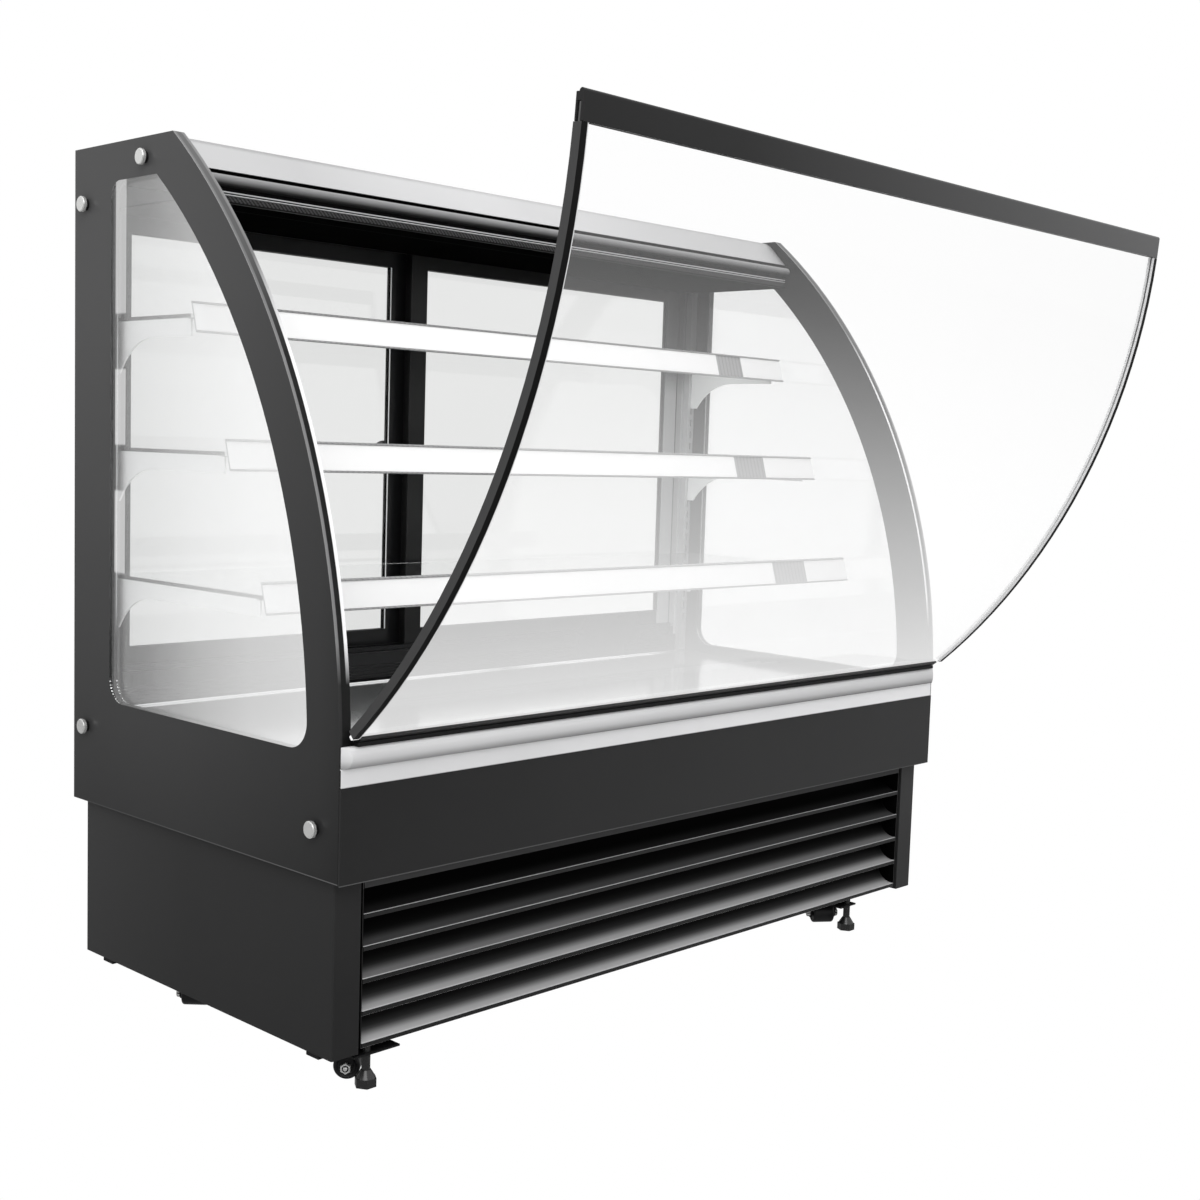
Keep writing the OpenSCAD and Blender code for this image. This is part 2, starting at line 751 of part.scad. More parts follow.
// Rounded bumper rail with mitred ends
module front_bumper() {
  mid = bumper_z + bumper_h / 2;
  bulge = 24;
  face = fascia_y - bumper_out;
  color(bright_c) difference() {
    along_x(-trim_x - 1, trim_x + 1) intersection() {
      translate([face, bumper_z + fit_gap]) square([bumper_out + 2, bumper_h - fit_gap]);
      translate([face + bulge, mid]) circle(bulge, $fn = 96);
    }
    both_sides() translate([trim_x + 1, fascia_y, mid]) rotate([0, 0, -45])
      translate([0, -30, -bumper_h]) cube([30, 60, 2 * bumper_h]);
  }
}

// Cradle round the glass's knuckle, open on the side through which the glass stands.
// Its front lip is the stop of the open glass.
module glass_hinge_base() {
  behind_bumper = fascia_y + sheet_t + fit_gap;
  rear = tub_front - fit_gap;
  low = tub_top - 34;
  wrap = knuckle_r + 1.6;
  color(black_c) along_x(-inner_x + 1, inner_x - 1) difference() {
    union() {
      polygon([[0, low], [0, bumper_z + fit_gap], [behind_bumper, bumper_z + fit_gap],
        [behind_bumper, bumper_top + fit_gap], [hinge_y - 9, bumper_top + fit_gap],
        [hinge_y - 9, hinge_z - 2.6], [hinge_y + 4.5, hinge_z - 2.6], [hinge_y + 5.5, hinge_z + 3],
        [rear, hinge_z + 3], [rear, low]]);
      translate([hinge_y, hinge_z]) circle(wrap, $fn = small_fn);
    }
    translate([hinge_y, hinge_z]) circle(knuckle_r + run_gap, $fn = small_fn);
    translate([hinge_y, hinge_z]) polygon([[0, 0], 12 * [cos(56), sin(56)], 14 * [cos(100), sin(100)],
      14 * [cos(145), sin(145)], 12 * [cos(188), sin(188)]]);
  }
}

// Front glass, drawn closed and tilted out
module front_glass_pane() {
  color(glass_c) tilted_open() along_x(-pane_x, pane_x)
    front_sector(pane_r0, pane_r1, pane_low, glass_top_angle);
}

// U-shaped seals on the glass's curved ends
module front_glass_side_seals() {
  color(black_c) tilted_open() both_sides() difference() {
    along_x(seal_x - seal_w, seal_x) front_sector(seal_r0, seal_r1, seal_low, handle_low - 0.02);
    along_x(seal_x - seal_w - 1, pane_x + fit_gap)
      front_sector(pane_r0 - fit_gap, pane_r1 + fit_gap, seal_low - 1, glass_top_angle);
  }
}

// Handle rail on the glass's top edge: grip, bulb and inward finger lip
module front_glass_handle_rail() {
  above = handle_h - handle_grip;
  hook = 7;
  color(black_c) tilted_open() {
    along_x(-seal_x, seal_x) difference() {
      translate([arc_y, arc_z]) rotate(180 - glass_top_angle) {
        translate([seal_r0 + 1, -above]) square([seal_t - 1, handle_h]);
        translate([seal_r1 - 4, -above]) circle(4, $fn = small_fn);
      }
      front_sector(pane_r0 - fit_gap, pane_r1 + fit_gap, handle_low - 1, glass_top_angle + 0.01);
    }
    along_x(-inner_x + 4, inner_x - 4) translate([arc_y, arc_z]) rotate(180 - glass_top_angle) {
      translate([seal_r0 + 1 - hook, -above]) square([hook, 2.5]);
      translate([seal_r0 + 1 - hook, -above]) square([2.5, 9]);
    }
  }
}

// Rail on the glass's lower edge, with the round knuckle that it turns on
module front_glass_hinge_rail() {
  neck = 6;
  grip = 10;
  color(black_c) tilted_open() along_x(-inner_x + 1, inner_x - 1) translate([hinge_y, hinge_z]) {
    difference() {
      translate([-7, neck]) square([10, grip]);
      translate([-hinge_y, -hinge_z])
        front_sector(pane_r0 - fit_gap, pane_r1 + fit_gap, pane_low - 0.01, pane_low + 4);
    }
    translate([-1.8, 0]) square([3.6, neck + 1]);
    circle(knuckle_r, $fn = small_fn);
  }
}

// Canopy cover: roof, front slope with its return, and rear drop
slope_y = canopy_y - slope_run;
slope_z = panel_top - 3 - slope_fall;

module top_cover() {
  roof = panel_top - 3;
  rear = panel_d - 4;
  color(steel_c) along_x(-inner_x, inner_x)
    polygon(folded([[slope_y + 14, slope_z], [slope_y, slope_z], [canopy_y - 6, roof - 6],
      [canopy_y + 4, roof], [rear, roof], [rear, head_top]], -sheet_t));
}

// Soffit over the display space, turned up behind the round rail
soffit_y = slope_y + 4;

module canopy_soffit() {
  color(black_c) {
    along_x(-inner_x, inner_x) polygon(folded([[soffit_y, slope_z - fit_gap],
      [soffit_y, soffit_z + 2], [soffit_y + 2, soffit_z], [jamb_front - fit_gap, soffit_z]], sheet_t));
    block([-inner_x + jamb_w + fit_gap, jamb_front - 1, soffit_z],
      [inner_x - jamb_w - fit_gap, track_y[0] - fit_gap, soffit_z + sheet_t]);
  }
}

// Round rail under the slope, with its thin ribs, lamp pocket and lower lip
module canopy_round_rail() {
  back = soffit_y - fit_gap;
  color(zinc_c) along_x(-inner_x + 3, inner_x - 3) {
    translate([back - round_r - 0.6, slope_z - 7 - round_r]) circle(round_r, $fn = small_fn);
    translate([back - 4, slope_z - 8 - round_r]) square([3, 2]);
    translate([back - 2, soffit_z]) square([2, slope_z - 9 - soffit_z]);
    for (z = [soffit_z + 12, soffit_z + 16]) translate([back - 7, z]) square([6, 1.4]);
    translate([back - 9, soffit_z]) square([8, 2]);
  }
}

// Ribbed lamp cover in the pocket under the round rail
module canopy_lamp() {
  y = soffit_y - 2 - 2 * fit_gap;
  color(white_c) along_x(-inner_x + 6, inner_x - 6) {
    translate([y - 5, soffit_z + 2 + fit_gap]) square([5, 9]);
    for (i = [0:2]) translate([y - 5, soffit_z + 4 + i * 2.7]) circle(1, $fn = 16);
  }
}

// Sill and head of the door frame, each with two tracks between three lips
track_y = [door_plane - 6, rear_plane + track_gap / 2 - 1.5, rear_plane + track_gap + door_t + 3];
head_z = leaf_top + 4;
head_top = head_z + 30;

module track_outline(z, thick, lip_z, lip_h) {
  translate([track_y[0], z]) square([track_y[2] + 3 - track_y[0], thick]);
  for (y = track_y) translate([y, lip_z]) square([3, lip_h]);
}

module door_track_rails() {
  color(black_c) along_x(-inner_x + jamb_w, inner_x - jamb_w) {
    track_outline(sill_z, sill_t, sill_z + sill_t, track_lip);
    track_outline(head_z, head_top - head_z, head_z - 14, 14);
  }
}

module door_jambs() {
  color(black_c) both_sides()
    block([inner_x - jamb_w, jamb_front, sill_z], [inner_x, panel_d - 4, head_top]);
}

// Door frame of four bars round its glass, with a rebate in each bar
leaf_left = [-leaf_x, -door_meet + door_lap];
leaf_right = [-door_meet, leaf_x];

module door_frame(x0, x1, y, left_stile, right_stile) {
  difference() {
    block([x0, y, leaf_z], [x1, y + door_t, leaf_top]);
    block([x0 + left_stile, y - 1, leaf_z + door_rail],
      [x1 - right_stile, y + door_t + 1, leaf_top - door_rail]);
    block([x0 + left_stile - 10, y + 4, leaf_z + door_rail - 10],
      [x1 - right_stile + 10, y + door_t - 4, leaf_top - door_rail + 10]);
  }
}

module door_glass(x0, x1, y, left_stile, right_stile) {
  color(glass_c) block([x0 + left_stile - 9, y + 4 + fit_gap, leaf_z + door_rail - 9],
    [x1 - right_stile + 9, y + door_t - 4 - fit_gap, leaf_top - door_rail + 9]);
}

// Heights of the finger pull and of the grip bar's ends
pull_z = 914;
grip_z = [860, 980];

// Left door, with a half-round finger pull beside its meeting stile
module door_left_frame() {
  y = rear_plane + track_gap;
  edge = leaf_left[1] - door_stile;
  color(black_c) {
    door_frame(leaf_left[0], leaf_left[1], y, door_stile, door_stile);
    along_y(y + door_t, y + door_t + 4) translate([edge, pull_z]) circle(25, $fn = small_fn);
  }
}

module door_left_glass() {
  door_glass(leaf_left[0], leaf_left[1], rear_plane + track_gap, door_stile, door_stile);
}

// Right door, with a grip bar on its outer stile
module door_right_frame() {
  grip = leaf_right[1] - door_stile / 2;
  color(black_c) {
    door_frame(leaf_right[0], leaf_right[1], door_plane, door_stile, door_stile);
    block([grip - 9, rear_plane, grip_z[0]], [grip + 9, rear_plane + 4, grip_z[1]]);
  }
}

module door_right_glass() {
  door_glass(leaf_right[0], leaf_right[1], door_plane, door_stile, door_stile);
}

// Slotted uprights, open at the rear
upright_x = inner_x - 2 - upright_s / 2;
slot_first = shelf_low_z - bracket_root + 12;

module shelf_uprights() {
  h = upright_s / 2;
  t = 2;
  color(bright_c) both_sides() difference() {
    along_z(tub_top + fit_gap, soffit_z - fit_gap) translate([upright_x, upright_y])
      polygon(folded([[-h, upright_d], [-h, 0], [h, 0], [h, upright_d]], t));
    for (i = [-3:20]) let (z = slot_first + i * slot_pitch) if (z > deck_z + 20 && z < soffit_z - 30)
      block([upright_x - 2.5, upright_y - 1, z], [upright_x + 2.5, upright_y + t + 1, z + 15]);
  }
}

// Cantilever bracket with a curved underside and two hooks
module bracket(i) {
  top = shelf_z[i] - shelf_t;
  front = shelf_front[i] + 12;
  root = shelf_z[i] - bracket_root;
  rear = upright_y;
  rise = bracket_root - bracket_tip;
  start = rear - 16 - bracket_curve;
  r = (bracket_curve * bracket_curve + rise * rise) / (2 * rise);
  along_x(upright_x - bracket_t / 2, upright_x + bracket_t / 2) {
    difference() {
      translate([front, root]) square([rear - front, top - root]);
      translate([front - 1, root - 1]) square([start - front + 1, rise + 1]);
      translate([start, root + rise - r]) circle(r, $fn = big_fn);
    }
    for (z = [slot_first, slot_first + 2 * slot_pitch]) let (s = z - shelf_low_z + shelf_z[i]) {
      translate([rear - 1, s + fit_gap]) square([6, 9]);
      translate([rear + 2.3, s - 5]) square([2.7, 14]);
    }
  }
}

module shelf_brackets() {
  color(white_c) both_sides() for (i = [0:2]) bracket(i);
}

module shelf_glass() {
  color(glass_c) for (i = [0:2])
    block([-shelf_x, shelf_front[i] + 2, shelf_z[i] - shelf_t], [shelf_x, shelf_rear, shelf_z[i]]);
}

// Leaning price strip that clips on the front edge of a shelf
strip_t = 1.6;

module strip_outline(i) {
  y = shelf_front[i];
  z = shelf_z[i];
  lean = strip_lean / (strip_above + strip_below);
  at_glass = -strip_above * lean;
  polygon(folded([[y - 3, z + strip_above - 1], [y, z + strip_above],
    [y - strip_lean, z - strip_below], [y - strip_lean - 3, z - strip_below + 1]], strip_t));
  translate([y + at_glass + strip_t - 2, z - shelf_t - fit_gap - strip_t]) square([12 - at_glass, strip_t]);
}

module price_strips() {
  color(bright_c) for (i = [0:2]) along_x(-shelf_x, shelf_x) strip_outline(i);
}

// Paper inserts in the strips, with a bare stretch near the right-hand end
module price_inserts() {
  color(white_c) for (i = [0:2]) {
    y = shelf_front[i];
    z = shelf_z[i];
    inset = 1.6;
    dir = unit([-strip_lean, -strip_above - strip_below]);
    top = [y - 0.7, z + strip_above] + dir * inset;
    low = [y - 0.7 - strip_lean, z - strip_below] - dir * inset;
    for (x = [[-shelf_x + 0.5, insert_bare[i][0]], [insert_bare[i][1], shelf_x - 0.5]])
      along_x(x[0], x[1]) polygon(folded([top, low], -0.5));
  }
}

// Control box on the rear of the base, with display, switch well and cable gland
panel_at = [300, 200];
switch_at = [520, 228];

module control_panel() {
  y = base_rear;
  color(black_c) {
    difference() {
      block([panel_at[0], y, panel_at[1]], [panel_at[0] + 260, y + 14, panel_at[1] + 70]);
      block([panel_at[0] + 24, y + 12, panel_at[1] + 18], [panel_at[0] + 104, y + 15, panel_at[1] + 52]);
      block([switch_at[0] - 12, y + 2, switch_at[1] - 16], [switch_at[0] + 12, y + 15, switch_at[1] + 16]);
    }
    translate([switch_at[0] - 12.5, y + 8, switch_at[1]]) rotate([0, 90, 0])
      cylinder(25, r = rocker_pin, $fn = small_fn);
    translate([gland_at[0], y, gland_at[1]]) rotate([-90, 0, 0]) difference() {
      union() {
        cylinder(6, d = 30, $fn = 6);
        translate([0, 0, 6]) cylinder(12, d = 20, $fn = small_fn);
      }
      translate([0, 0, -1]) cylinder(20, d = 11, $fn = small_fn);
    }
  }
}

// Rocker that switches the lamp, on a pin across its well and tipped to its off side
rocker_tilt = 8;
rocker_pin = 2;

module lamp_switch() {
  color(black_c) translate([switch_at[0], base_rear + 8, switch_at[1]]) rotate([rocker_tilt, 0, 0])
    along_x(-11, 11) difference() {
      union() {
        intersection() {
          translate([-1.5, -14]) square([9, 28]);
          circle(14, $fn = small_fn);
        }
        circle(5, $fn = small_fn);
      }
      translate([26, 0]) circle(20, $fn = small_fn);
      circle(rocker_pin + run_gap, $fn = small_fn);
    }
}

placed() chassis_frame();
placed() castor_plates();
placed() mirror([1, 0, 0]) base_side();  // base_side_left
placed() base_side();  // base_side_right
placed() base_rear_panel();
placed() louvre_grille();
placed() compressor();
placed() condenser_coil();
placed() condenser_fan_shroud();
placed() condenser_fan_blade();
placed() drain_tray();
placed() tub_shell();
placed() evaporator_coil();
placed() evaporator_fan_plate();
placed() evaporator_fan_blade();
placed() deck_pans();
placed() rear_duct_cover();
placed() front_fascia();
placed() front_trim_strip();
placed() front_bumper();
placed() glass_hinge_base();
placed() mirror([1, 0, 0]) color(paint_c) side_border();  // side_border_left
placed() color(paint_c) side_border();  // side_border_right
placed() mirror([1, 0, 0]) color(glass_c) side_window();  // side_window_left
placed() color(glass_c) side_window();  // side_window_right
placed() side_fixing_caps();
placed() side_fixing_bushes();
placed() top_cover();
placed() canopy_soffit();
placed() canopy_round_rail();
placed() canopy_lamp();
placed() door_track_rails();
placed() door_jambs();
placed() shelf_uprights();
placed() shelf_brackets();
placed() shelf_glass();
placed() price_strips();
placed() price_inserts();
placed() control_panel();
placed() lamp_switch();
placed() door_left_frame();
placed() door_left_glass();
placed() door_right_frame();
placed() door_right_glass();
placed() front_glass_pane();
placed() front_glass_side_seals();
placed() front_glass_handle_rail();
placed() front_glass_hinge_rail();
placed() color(black_c) levelling_foot(0);  // levelling_foot_left
placed() color(black_c) levelling_foot(1);  // levelling_foot_right
placed() color(zinc_c) castor_fork(0);  // castor_fork_front_left
placed() color(zinc_c) castor_fork(1);  // castor_fork_front_right
placed() color(zinc_c) castor_fork(2);  // castor_fork_rear_left
placed() color(zinc_c) castor_fork(3);  // castor_fork_rear_right
placed() color(black_c) castor_wheel(0);  // castor_wheel_front_left
placed() color(black_c) castor_wheel(1);  // castor_wheel_front_right
placed() color(black_c) castor_wheel(2);  // castor_wheel_rear_left
placed() color(black_c) castor_wheel(3);  // castor_wheel_rear_right
placed() color(black_c) brake_pedal(0);  // brake_pedal_left
placed() color(black_c) brake_pedal(1);  // brake_pedal_right
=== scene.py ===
import json
import math

import bmesh
import bpy
import numpy as np
from mathutils import Matrix, Vector

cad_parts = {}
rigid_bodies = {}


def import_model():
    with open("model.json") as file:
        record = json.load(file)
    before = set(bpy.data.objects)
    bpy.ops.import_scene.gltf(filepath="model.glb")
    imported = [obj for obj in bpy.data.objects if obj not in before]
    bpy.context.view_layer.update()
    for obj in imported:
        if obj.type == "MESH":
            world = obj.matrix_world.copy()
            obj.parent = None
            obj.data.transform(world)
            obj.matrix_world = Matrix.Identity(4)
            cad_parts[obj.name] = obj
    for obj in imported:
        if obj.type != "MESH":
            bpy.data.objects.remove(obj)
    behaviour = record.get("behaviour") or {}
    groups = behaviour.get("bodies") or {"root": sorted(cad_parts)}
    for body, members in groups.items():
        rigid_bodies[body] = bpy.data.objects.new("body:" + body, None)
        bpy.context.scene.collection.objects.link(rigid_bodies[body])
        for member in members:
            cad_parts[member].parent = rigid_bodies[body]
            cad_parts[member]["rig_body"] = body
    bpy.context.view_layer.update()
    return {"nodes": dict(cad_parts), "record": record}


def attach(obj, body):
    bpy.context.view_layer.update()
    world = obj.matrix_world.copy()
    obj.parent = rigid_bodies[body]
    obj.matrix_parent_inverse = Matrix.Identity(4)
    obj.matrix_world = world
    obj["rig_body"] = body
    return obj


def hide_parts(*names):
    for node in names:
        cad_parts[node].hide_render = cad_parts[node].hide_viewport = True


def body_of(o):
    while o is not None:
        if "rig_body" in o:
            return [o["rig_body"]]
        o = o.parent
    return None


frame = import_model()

NODES = frame["nodes"]
SCENE = bpy.context.scene
SLOT_OF = {s["node"]: s["material_slot"] for s in frame["record"]["subparts"]}
BODY_OF = {name: body_of(o)[0] for name, o in NODES.items()}

# Places in metres: X to the right of the middle, Y to the rear, Z up from the floor
SHIFT_Y = -0.150  # the side panels' front edge, where the case's own Y starts
PANEL_OUT = 0.750  # outer faces of the side panels
PANEL_IN = 0.730  # inner faces of the side panels
SLAT_START = 0.0635  # where the lowest slat's row starts
SLAT_PITCH = 0.0478
HATCH_PITCH = 0.0075  # dark lines of the lamp cover
LINE_PITCH = 0.011  # upright lines of a bare price strip
END_LENGTH = 0.020  # stretch of a front piece that counts as its end

WHITE = (1.0, 1.0, 1.0, 1.0)
REFLECTION_GLOW = 1.12  # strength of the painted reflection, a white glow on the glass, so that white stays white through it
DRIFT_SPAN = 0.25  # how far the slow drift of tone leaves zero
SHARP_ANGLE = 30.0  # degrees between faces from which an edge is sharp
BEVEL_ANGLE = 35.0  # degrees between faces from which an edge is rounded
FLAT_ANGLE = 0.3  # degrees between faces up to which they are made one


# Node helpers


def put(tree, value, socket):
    """Set a socket to a plain value, or link another socket to it."""
    if isinstance(value, bpy.types.NodeSocket):
        tree.links.new(value, socket)
    else:
        socket.default_value = value


def node(tree, kind, inputs=None, **settings):
    """New node with its settings; inputs holds values or sockets by the input's name or number."""
    new = tree.nodes.new(kind)
    for key, value in settings.items():
        setattr(new, key, value)
    for key, value in (inputs or {}).items():
        put(tree, value, new.inputs[key])
    return new


def math_node(tree, operation, *operands):
    """Result of one step of arithmetic on values or sockets."""
    return node(tree, "ShaderNodeMath", dict(enumerate(operands)), operation=operation).outputs[0]


def times(tree, a, b):
    """Product of two values."""
    return math_node(tree, "MULTIPLY", a, b)


def map_range(tree, value, lo, hi, at_lo, at_hi):
    """Value that runs straight from at_lo to at_hi while the given one runs from lo to hi."""
    inputs = {"Value": value, "From Min": lo, "From Max": hi, "To Min": at_lo, "To Max": at_hi}
    return node(tree, "ShaderNodeMapRange", inputs).outputs["Result"]


def rise(tree, value, lo, hi):
    """Mask that runs from zero at lo to one at hi."""
    return map_range(tree, value, lo, hi, 0.0, 1.0)


def fall(tree, value, lo, hi):
    """Mask that runs from one at lo to zero at hi."""
    return map_range(tree, value, lo, hi, 1.0, 0.0)


def band(tree, value, lo, hi, soft):
    """Mask that is one between lo and hi, with ends that run over twice soft."""
    return times(tree, rise(tree, value, lo - soft, lo + soft), fall(tree, value, hi - soft, hi + soft))


def curve(tree, value, stops):
    """Value that runs through the stops (place, amount) along the given one, straight between them."""
    lo, hi = stops[0][0], stops[-1][0]
    ramp = node(tree, "ShaderNodeValToRGB", {"Fac": rise(tree, value, lo, hi)})
    elements = ramp.color_ramp.elements
    for i, (place, amount) in enumerate(stops):
        position = (place - lo) / (hi - lo)
        element = elements[i] if i < 2 else elements.new(position)
        element.position = position
        element.color = (amount, amount, amount, 1.0)
    return ramp.outputs["Color"]


def choose(tree, mask, off, on):
    """Value between off and on by a mask; 0, 2 and 3 are the Mix node's inputs for single values."""
    return node(tree, "ShaderNodeMix", {0: mask, 2: off, 3: on}, data_type="FLOAT").outputs[0]


def stripes(tree, value, pitch):
    """Sine wave between minus one and one that repeats each pitch along a value."""
    return math_node(tree, "SINE", times(tree, value, 2 * math.pi / pitch))


def mixed(tree, mask, off, on):
    """Shader between off and on by a mask."""
    return node(tree, "ShaderNodeMixShader", {0: mask, 1: off, 2: on}).outputs[0]


def either(tree, first, second):
    """Mask that is one for either of two kinds of ray."""
    path = node(tree, "ShaderNodeLightPath").outputs
    return math_node(tree, "MAXIMUM", path[first], path[second])


def noise(tree, at, scale, **more):
    """Noise between zero and one at a place."""
    return node(tree, "ShaderNodeTexNoise", {"Vector": at, "Scale": scale, **more}).outputs["Fac"]


def object_place(tree):
    """Object coordinates as one vector."""
    return node(tree, "ShaderNodeTexCoord").outputs["Object"]


# Shared node groups


def group(name, inputs, outputs, build):
    """Shader node group with named sockets; build(tree, given) returns a socket for each output."""
    tree = bpy.data.node_groups.new(name, "ShaderNodeTree")
    for kind, label, value in inputs:
        tree.interface.new_socket(name=label, in_out="INPUT", socket_type=kind).default_value = value
    for label in outputs:
        tree.interface.new_socket(name=label, in_out="OUTPUT", socket_type="NodeSocketFloat")
    given = tree.nodes.new("NodeGroupInput").outputs
    out = tree.nodes.new("NodeGroupOutput").inputs
    for label, socket in build(tree, given).items():
        tree.links.new(socket, out[label])
    return tree


def coat_grain(tree, given):
    """Powder coat or moulded skin: a fine orange peel for the bump and a slow drift of tone.

    Grain is noise of the given scale, and Drift is noise of a few lumps a metre, less one half.
    """
    at = object_place(tree)
    slow = noise(tree, at, 3.1, Detail=3.0)
    return {
        "Grain": noise(tree, at, given["Grain scale"], Detail=2.0),
        "Drift": math_node(tree, "SUBTRACT", slow, 0.5),
    }


def brushed_metal(tree, given):
    """Brushed metal: noise on the place times a stretch, with a slower band of streaks over it."""
    stretch = {0: object_place(tree), 1: given["Stretch"]}
    along = node(tree, "ShaderNodeVectorMath", stretch, operation="MULTIPLY").outputs[0]
    return {
        "Hair": noise(tree, along, 1.0, Detail=6.0, Roughness=0.7),
        "Streak": noise(tree, along, 0.11, Detail=3.0),
    }


def surface_place(tree, given):
    """Where a surface lies and how it faces: the parts of its normal and of its Object coordinates."""
    normal = node(tree, "ShaderNodeNewGeometry").outputs["Normal"]
    faces = node(tree, "ShaderNodeSeparateXYZ", {0: normal}).outputs
    at = node(tree, "ShaderNodeSeparateXYZ", {0: object_place(tree)}).outputs
    return {
        "Faces X": math_node(tree, "ABSOLUTE", faces["X"]),
        "Faces Y": faces["Y"],
        "Faces Z": faces["Z"],
        "Side": math_node(tree, "ABSOLUTE", at["X"]),
        "Across": at["X"],
        "Back": at["Y"],
        "Height": at["Z"],
    }


COAT = group("coat_grain", [("NodeSocketFloat", "Grain scale", 1400.0)], ("Grain", "Drift"), coat_grain)
BRUSHED = group("brushed_metal", [("NodeSocketVector", "Stretch", (8.0, 900.0, 900.0))],
                ("Hair", "Streak"), brushed_metal)
PLACE = group("surface_place", [],
              ("Faces X", "Faces Y", "Faces Z", "Side", "Across", "Back", "Height"), surface_place)


def placed(tree, shared, inputs=None):
    """Outputs of a shared group that is placed in a material with its own values."""
    return node(tree, "ShaderNodeGroup", inputs, node_tree=shared).outputs


# Kinds of material


def material(name, **shader):
    """New material with its tree and its Principled shader, whose inputs are set by name."""
    mat = bpy.data.materials.new(name)
    mat.use_nodes = True
    principled = mat.node_tree.nodes["Principled BSDF"]
    for key, value in shader.items():
        principled.inputs[key.replace("_", " ")].default_value = value
    return mat, mat.node_tree, principled


def shade(tree, principled, colour, amount):
    """Base colour as a colour times an amount that changes over the surface."""
    scaled = node(tree, "ShaderNodeVectorMath", {0: colour, "Scale": amount}, operation="SCALE")
    tree.links.new(scaled.outputs[0], principled.inputs["Base Color"])


def around_one(tree, value, share):
    """One plus a share of a value that is centred on zero."""
    return math_node(tree, "MULTIPLY_ADD", value, share, 1.0)


def roughen(tree, principled, value, lo, hi, rough, share):
    """Roughness that strays from rough by a share of it while a value runs from lo to hi."""
    strayed = map_range(tree, value, lo, hi, rough * (1 - share), rough * (1 + share))
    tree.links.new(strayed, principled.inputs["Roughness"])


def bump(tree, principled, height, strength, distance):
    """Bump from a height, distance metres deep."""
    bumped = node(tree, "ShaderNodeBump", {"Strength": strength, "Distance": distance, "Height": height})
    tree.links.new(bumped.outputs[0], principled.inputs["Normal"])


def coated(name, base, rough, grain=1400.0, drift=0.25, depth=0.00003, **more):
    """Coat, plastic or rubber: base times one plus a share of the slow drift, with a fine grain."""
    mat, tree, principled = material(name, Roughness=rough, **more)
    coat = placed(tree, COAT, {"Grain scale": grain})
    shade(tree, principled, base, around_one(tree, coat["Drift"], drift))
    roughen(tree, principled, coat["Drift"], -DRIFT_SPAN, DRIFT_SPAN, rough, 0.15)
    bump(tree, principled, coat["Grain"], 0.35, depth)
    return mat


def brushed(name, base, rough, stretch=(8.0, 900.0, 900.0)):
    """Brushed metal: base times one plus a share of hair and streaks, centred on zero."""
    mat, tree, principled = material(name, Roughness=rough, Metallic=1.0)
    hair = placed(tree, BRUSHED, {"Stretch": stretch})
    centred = math_node(tree, "SUBTRACT", math_node(tree, "ADD", hair["Hair"], hair["Streak"]), 1.0)
    shade(tree, principled, base, around_one(tree, centred, 0.18))
    roughen(tree, principled, hair["Hair"], 0.3, 0.7, rough, 0.2)
    bump(tree, principled, hair["Hair"], 0.3, 0.00002)
    return mat


def toned(name, tone, rough, grain=1400.0, depth=0.00003, **more):
    """Coat whose tone follows the place on the object; tone(tree, place) returns how pale it is."""
    mat, tree, principled = material(name, Roughness=rough, **more)
    coat = placed(tree, COAT, {"Grain scale": grain})
    amount = times(tree, tone(tree, placed(tree, PLACE)), around_one(tree, coat["Drift"], 0.15))
    shade(tree, principled, (1.0, 1.0, 1.01), amount)
    roughen(tree, principled, coat["Drift"], -DRIFT_SPAN, DRIFT_SPAN, rough, 0.12)
    bump(tree, principled, coat["Grain"], 0.3, depth)
    return mat


def pane(name, tint, ior, painted_reflection=None):
    """Clear glass that shadow and diffuse rays pass straight through.

    The optional function given returns, from (tree, place), how much painted reflection of the white
    studio, a white glow, lies over the view.
    """
    mat, tree, principled = material(name, Roughness=0.0, IOR=ior, Transmission_Weight=1.0)
    coat = placed(tree, COAT, {"Grain scale": 9.0})
    shade(tree, principled, tint, around_one(tree, coat["Drift"], 0.02))
    shader = principled.outputs[0]
    if painted_reflection:
        # Painted reflection: a white glow mixed over the glass
        reflection_glow_shader = node(tree, "ShaderNodeEmission", {"Color": WHITE, "Strength": REFLECTION_GLOW})
        shader = mixed(tree, painted_reflection(tree, placed(tree, PLACE)), shader, reflection_glow_shader.outputs[0])
    clear = node(tree, "ShaderNodeBsdfTransparent", {"Color": (*tint, 1.0)})
    shader = mixed(tree, either(tree, "Is Shadow Ray", "Is Diffuse Ray"), shader, clear.outputs[0])
    tree.links.new(shader, tree.nodes["Material Output"].inputs["Surface"])
    return mat


# Tones by place


def paint_painted_shade_tone(tree, place):
    """Cabinet paint with painted shade: darker to the front and the floor on the sides, lighter to the
    right in front, the head strip painted lighter, and a painted highlight line near 0.32 m.
    """
    side = times(tree, curve(tree, place["Back"], ((-0.15, 0.0235), (0.25, 0.027), (0.56, 0.037))),
                 curve(tree, place["Height"], ((0.05, 0.85), (0.32, 1.0))))
    across = curve(tree, place["Across"], (
        (-0.745, 0.0172), (-0.45, 0.021), (0.02, 0.028), (0.75, 0.0345)))
    front = times(tree, across, curve(tree, place["Height"], (
        (0.05, 0.93), (0.15, 0.95), (0.30, 1.2), (0.319, 1.2), (0.3195, 1.0), (0.5, 1.0))))
    shown = choose(tree, place["Faces X"], front, side)
    # Painted highlight: a pale line across the front near 0.32 m up
    painted_edge_highlight = times(tree, band(tree, place["Height"], 0.3178, 0.3196, 0.0002),
                band(tree, place["Back"], -0.156, -0.1525, 0.0003))
    return choose(tree, painted_edge_highlight, shown, 0.075)


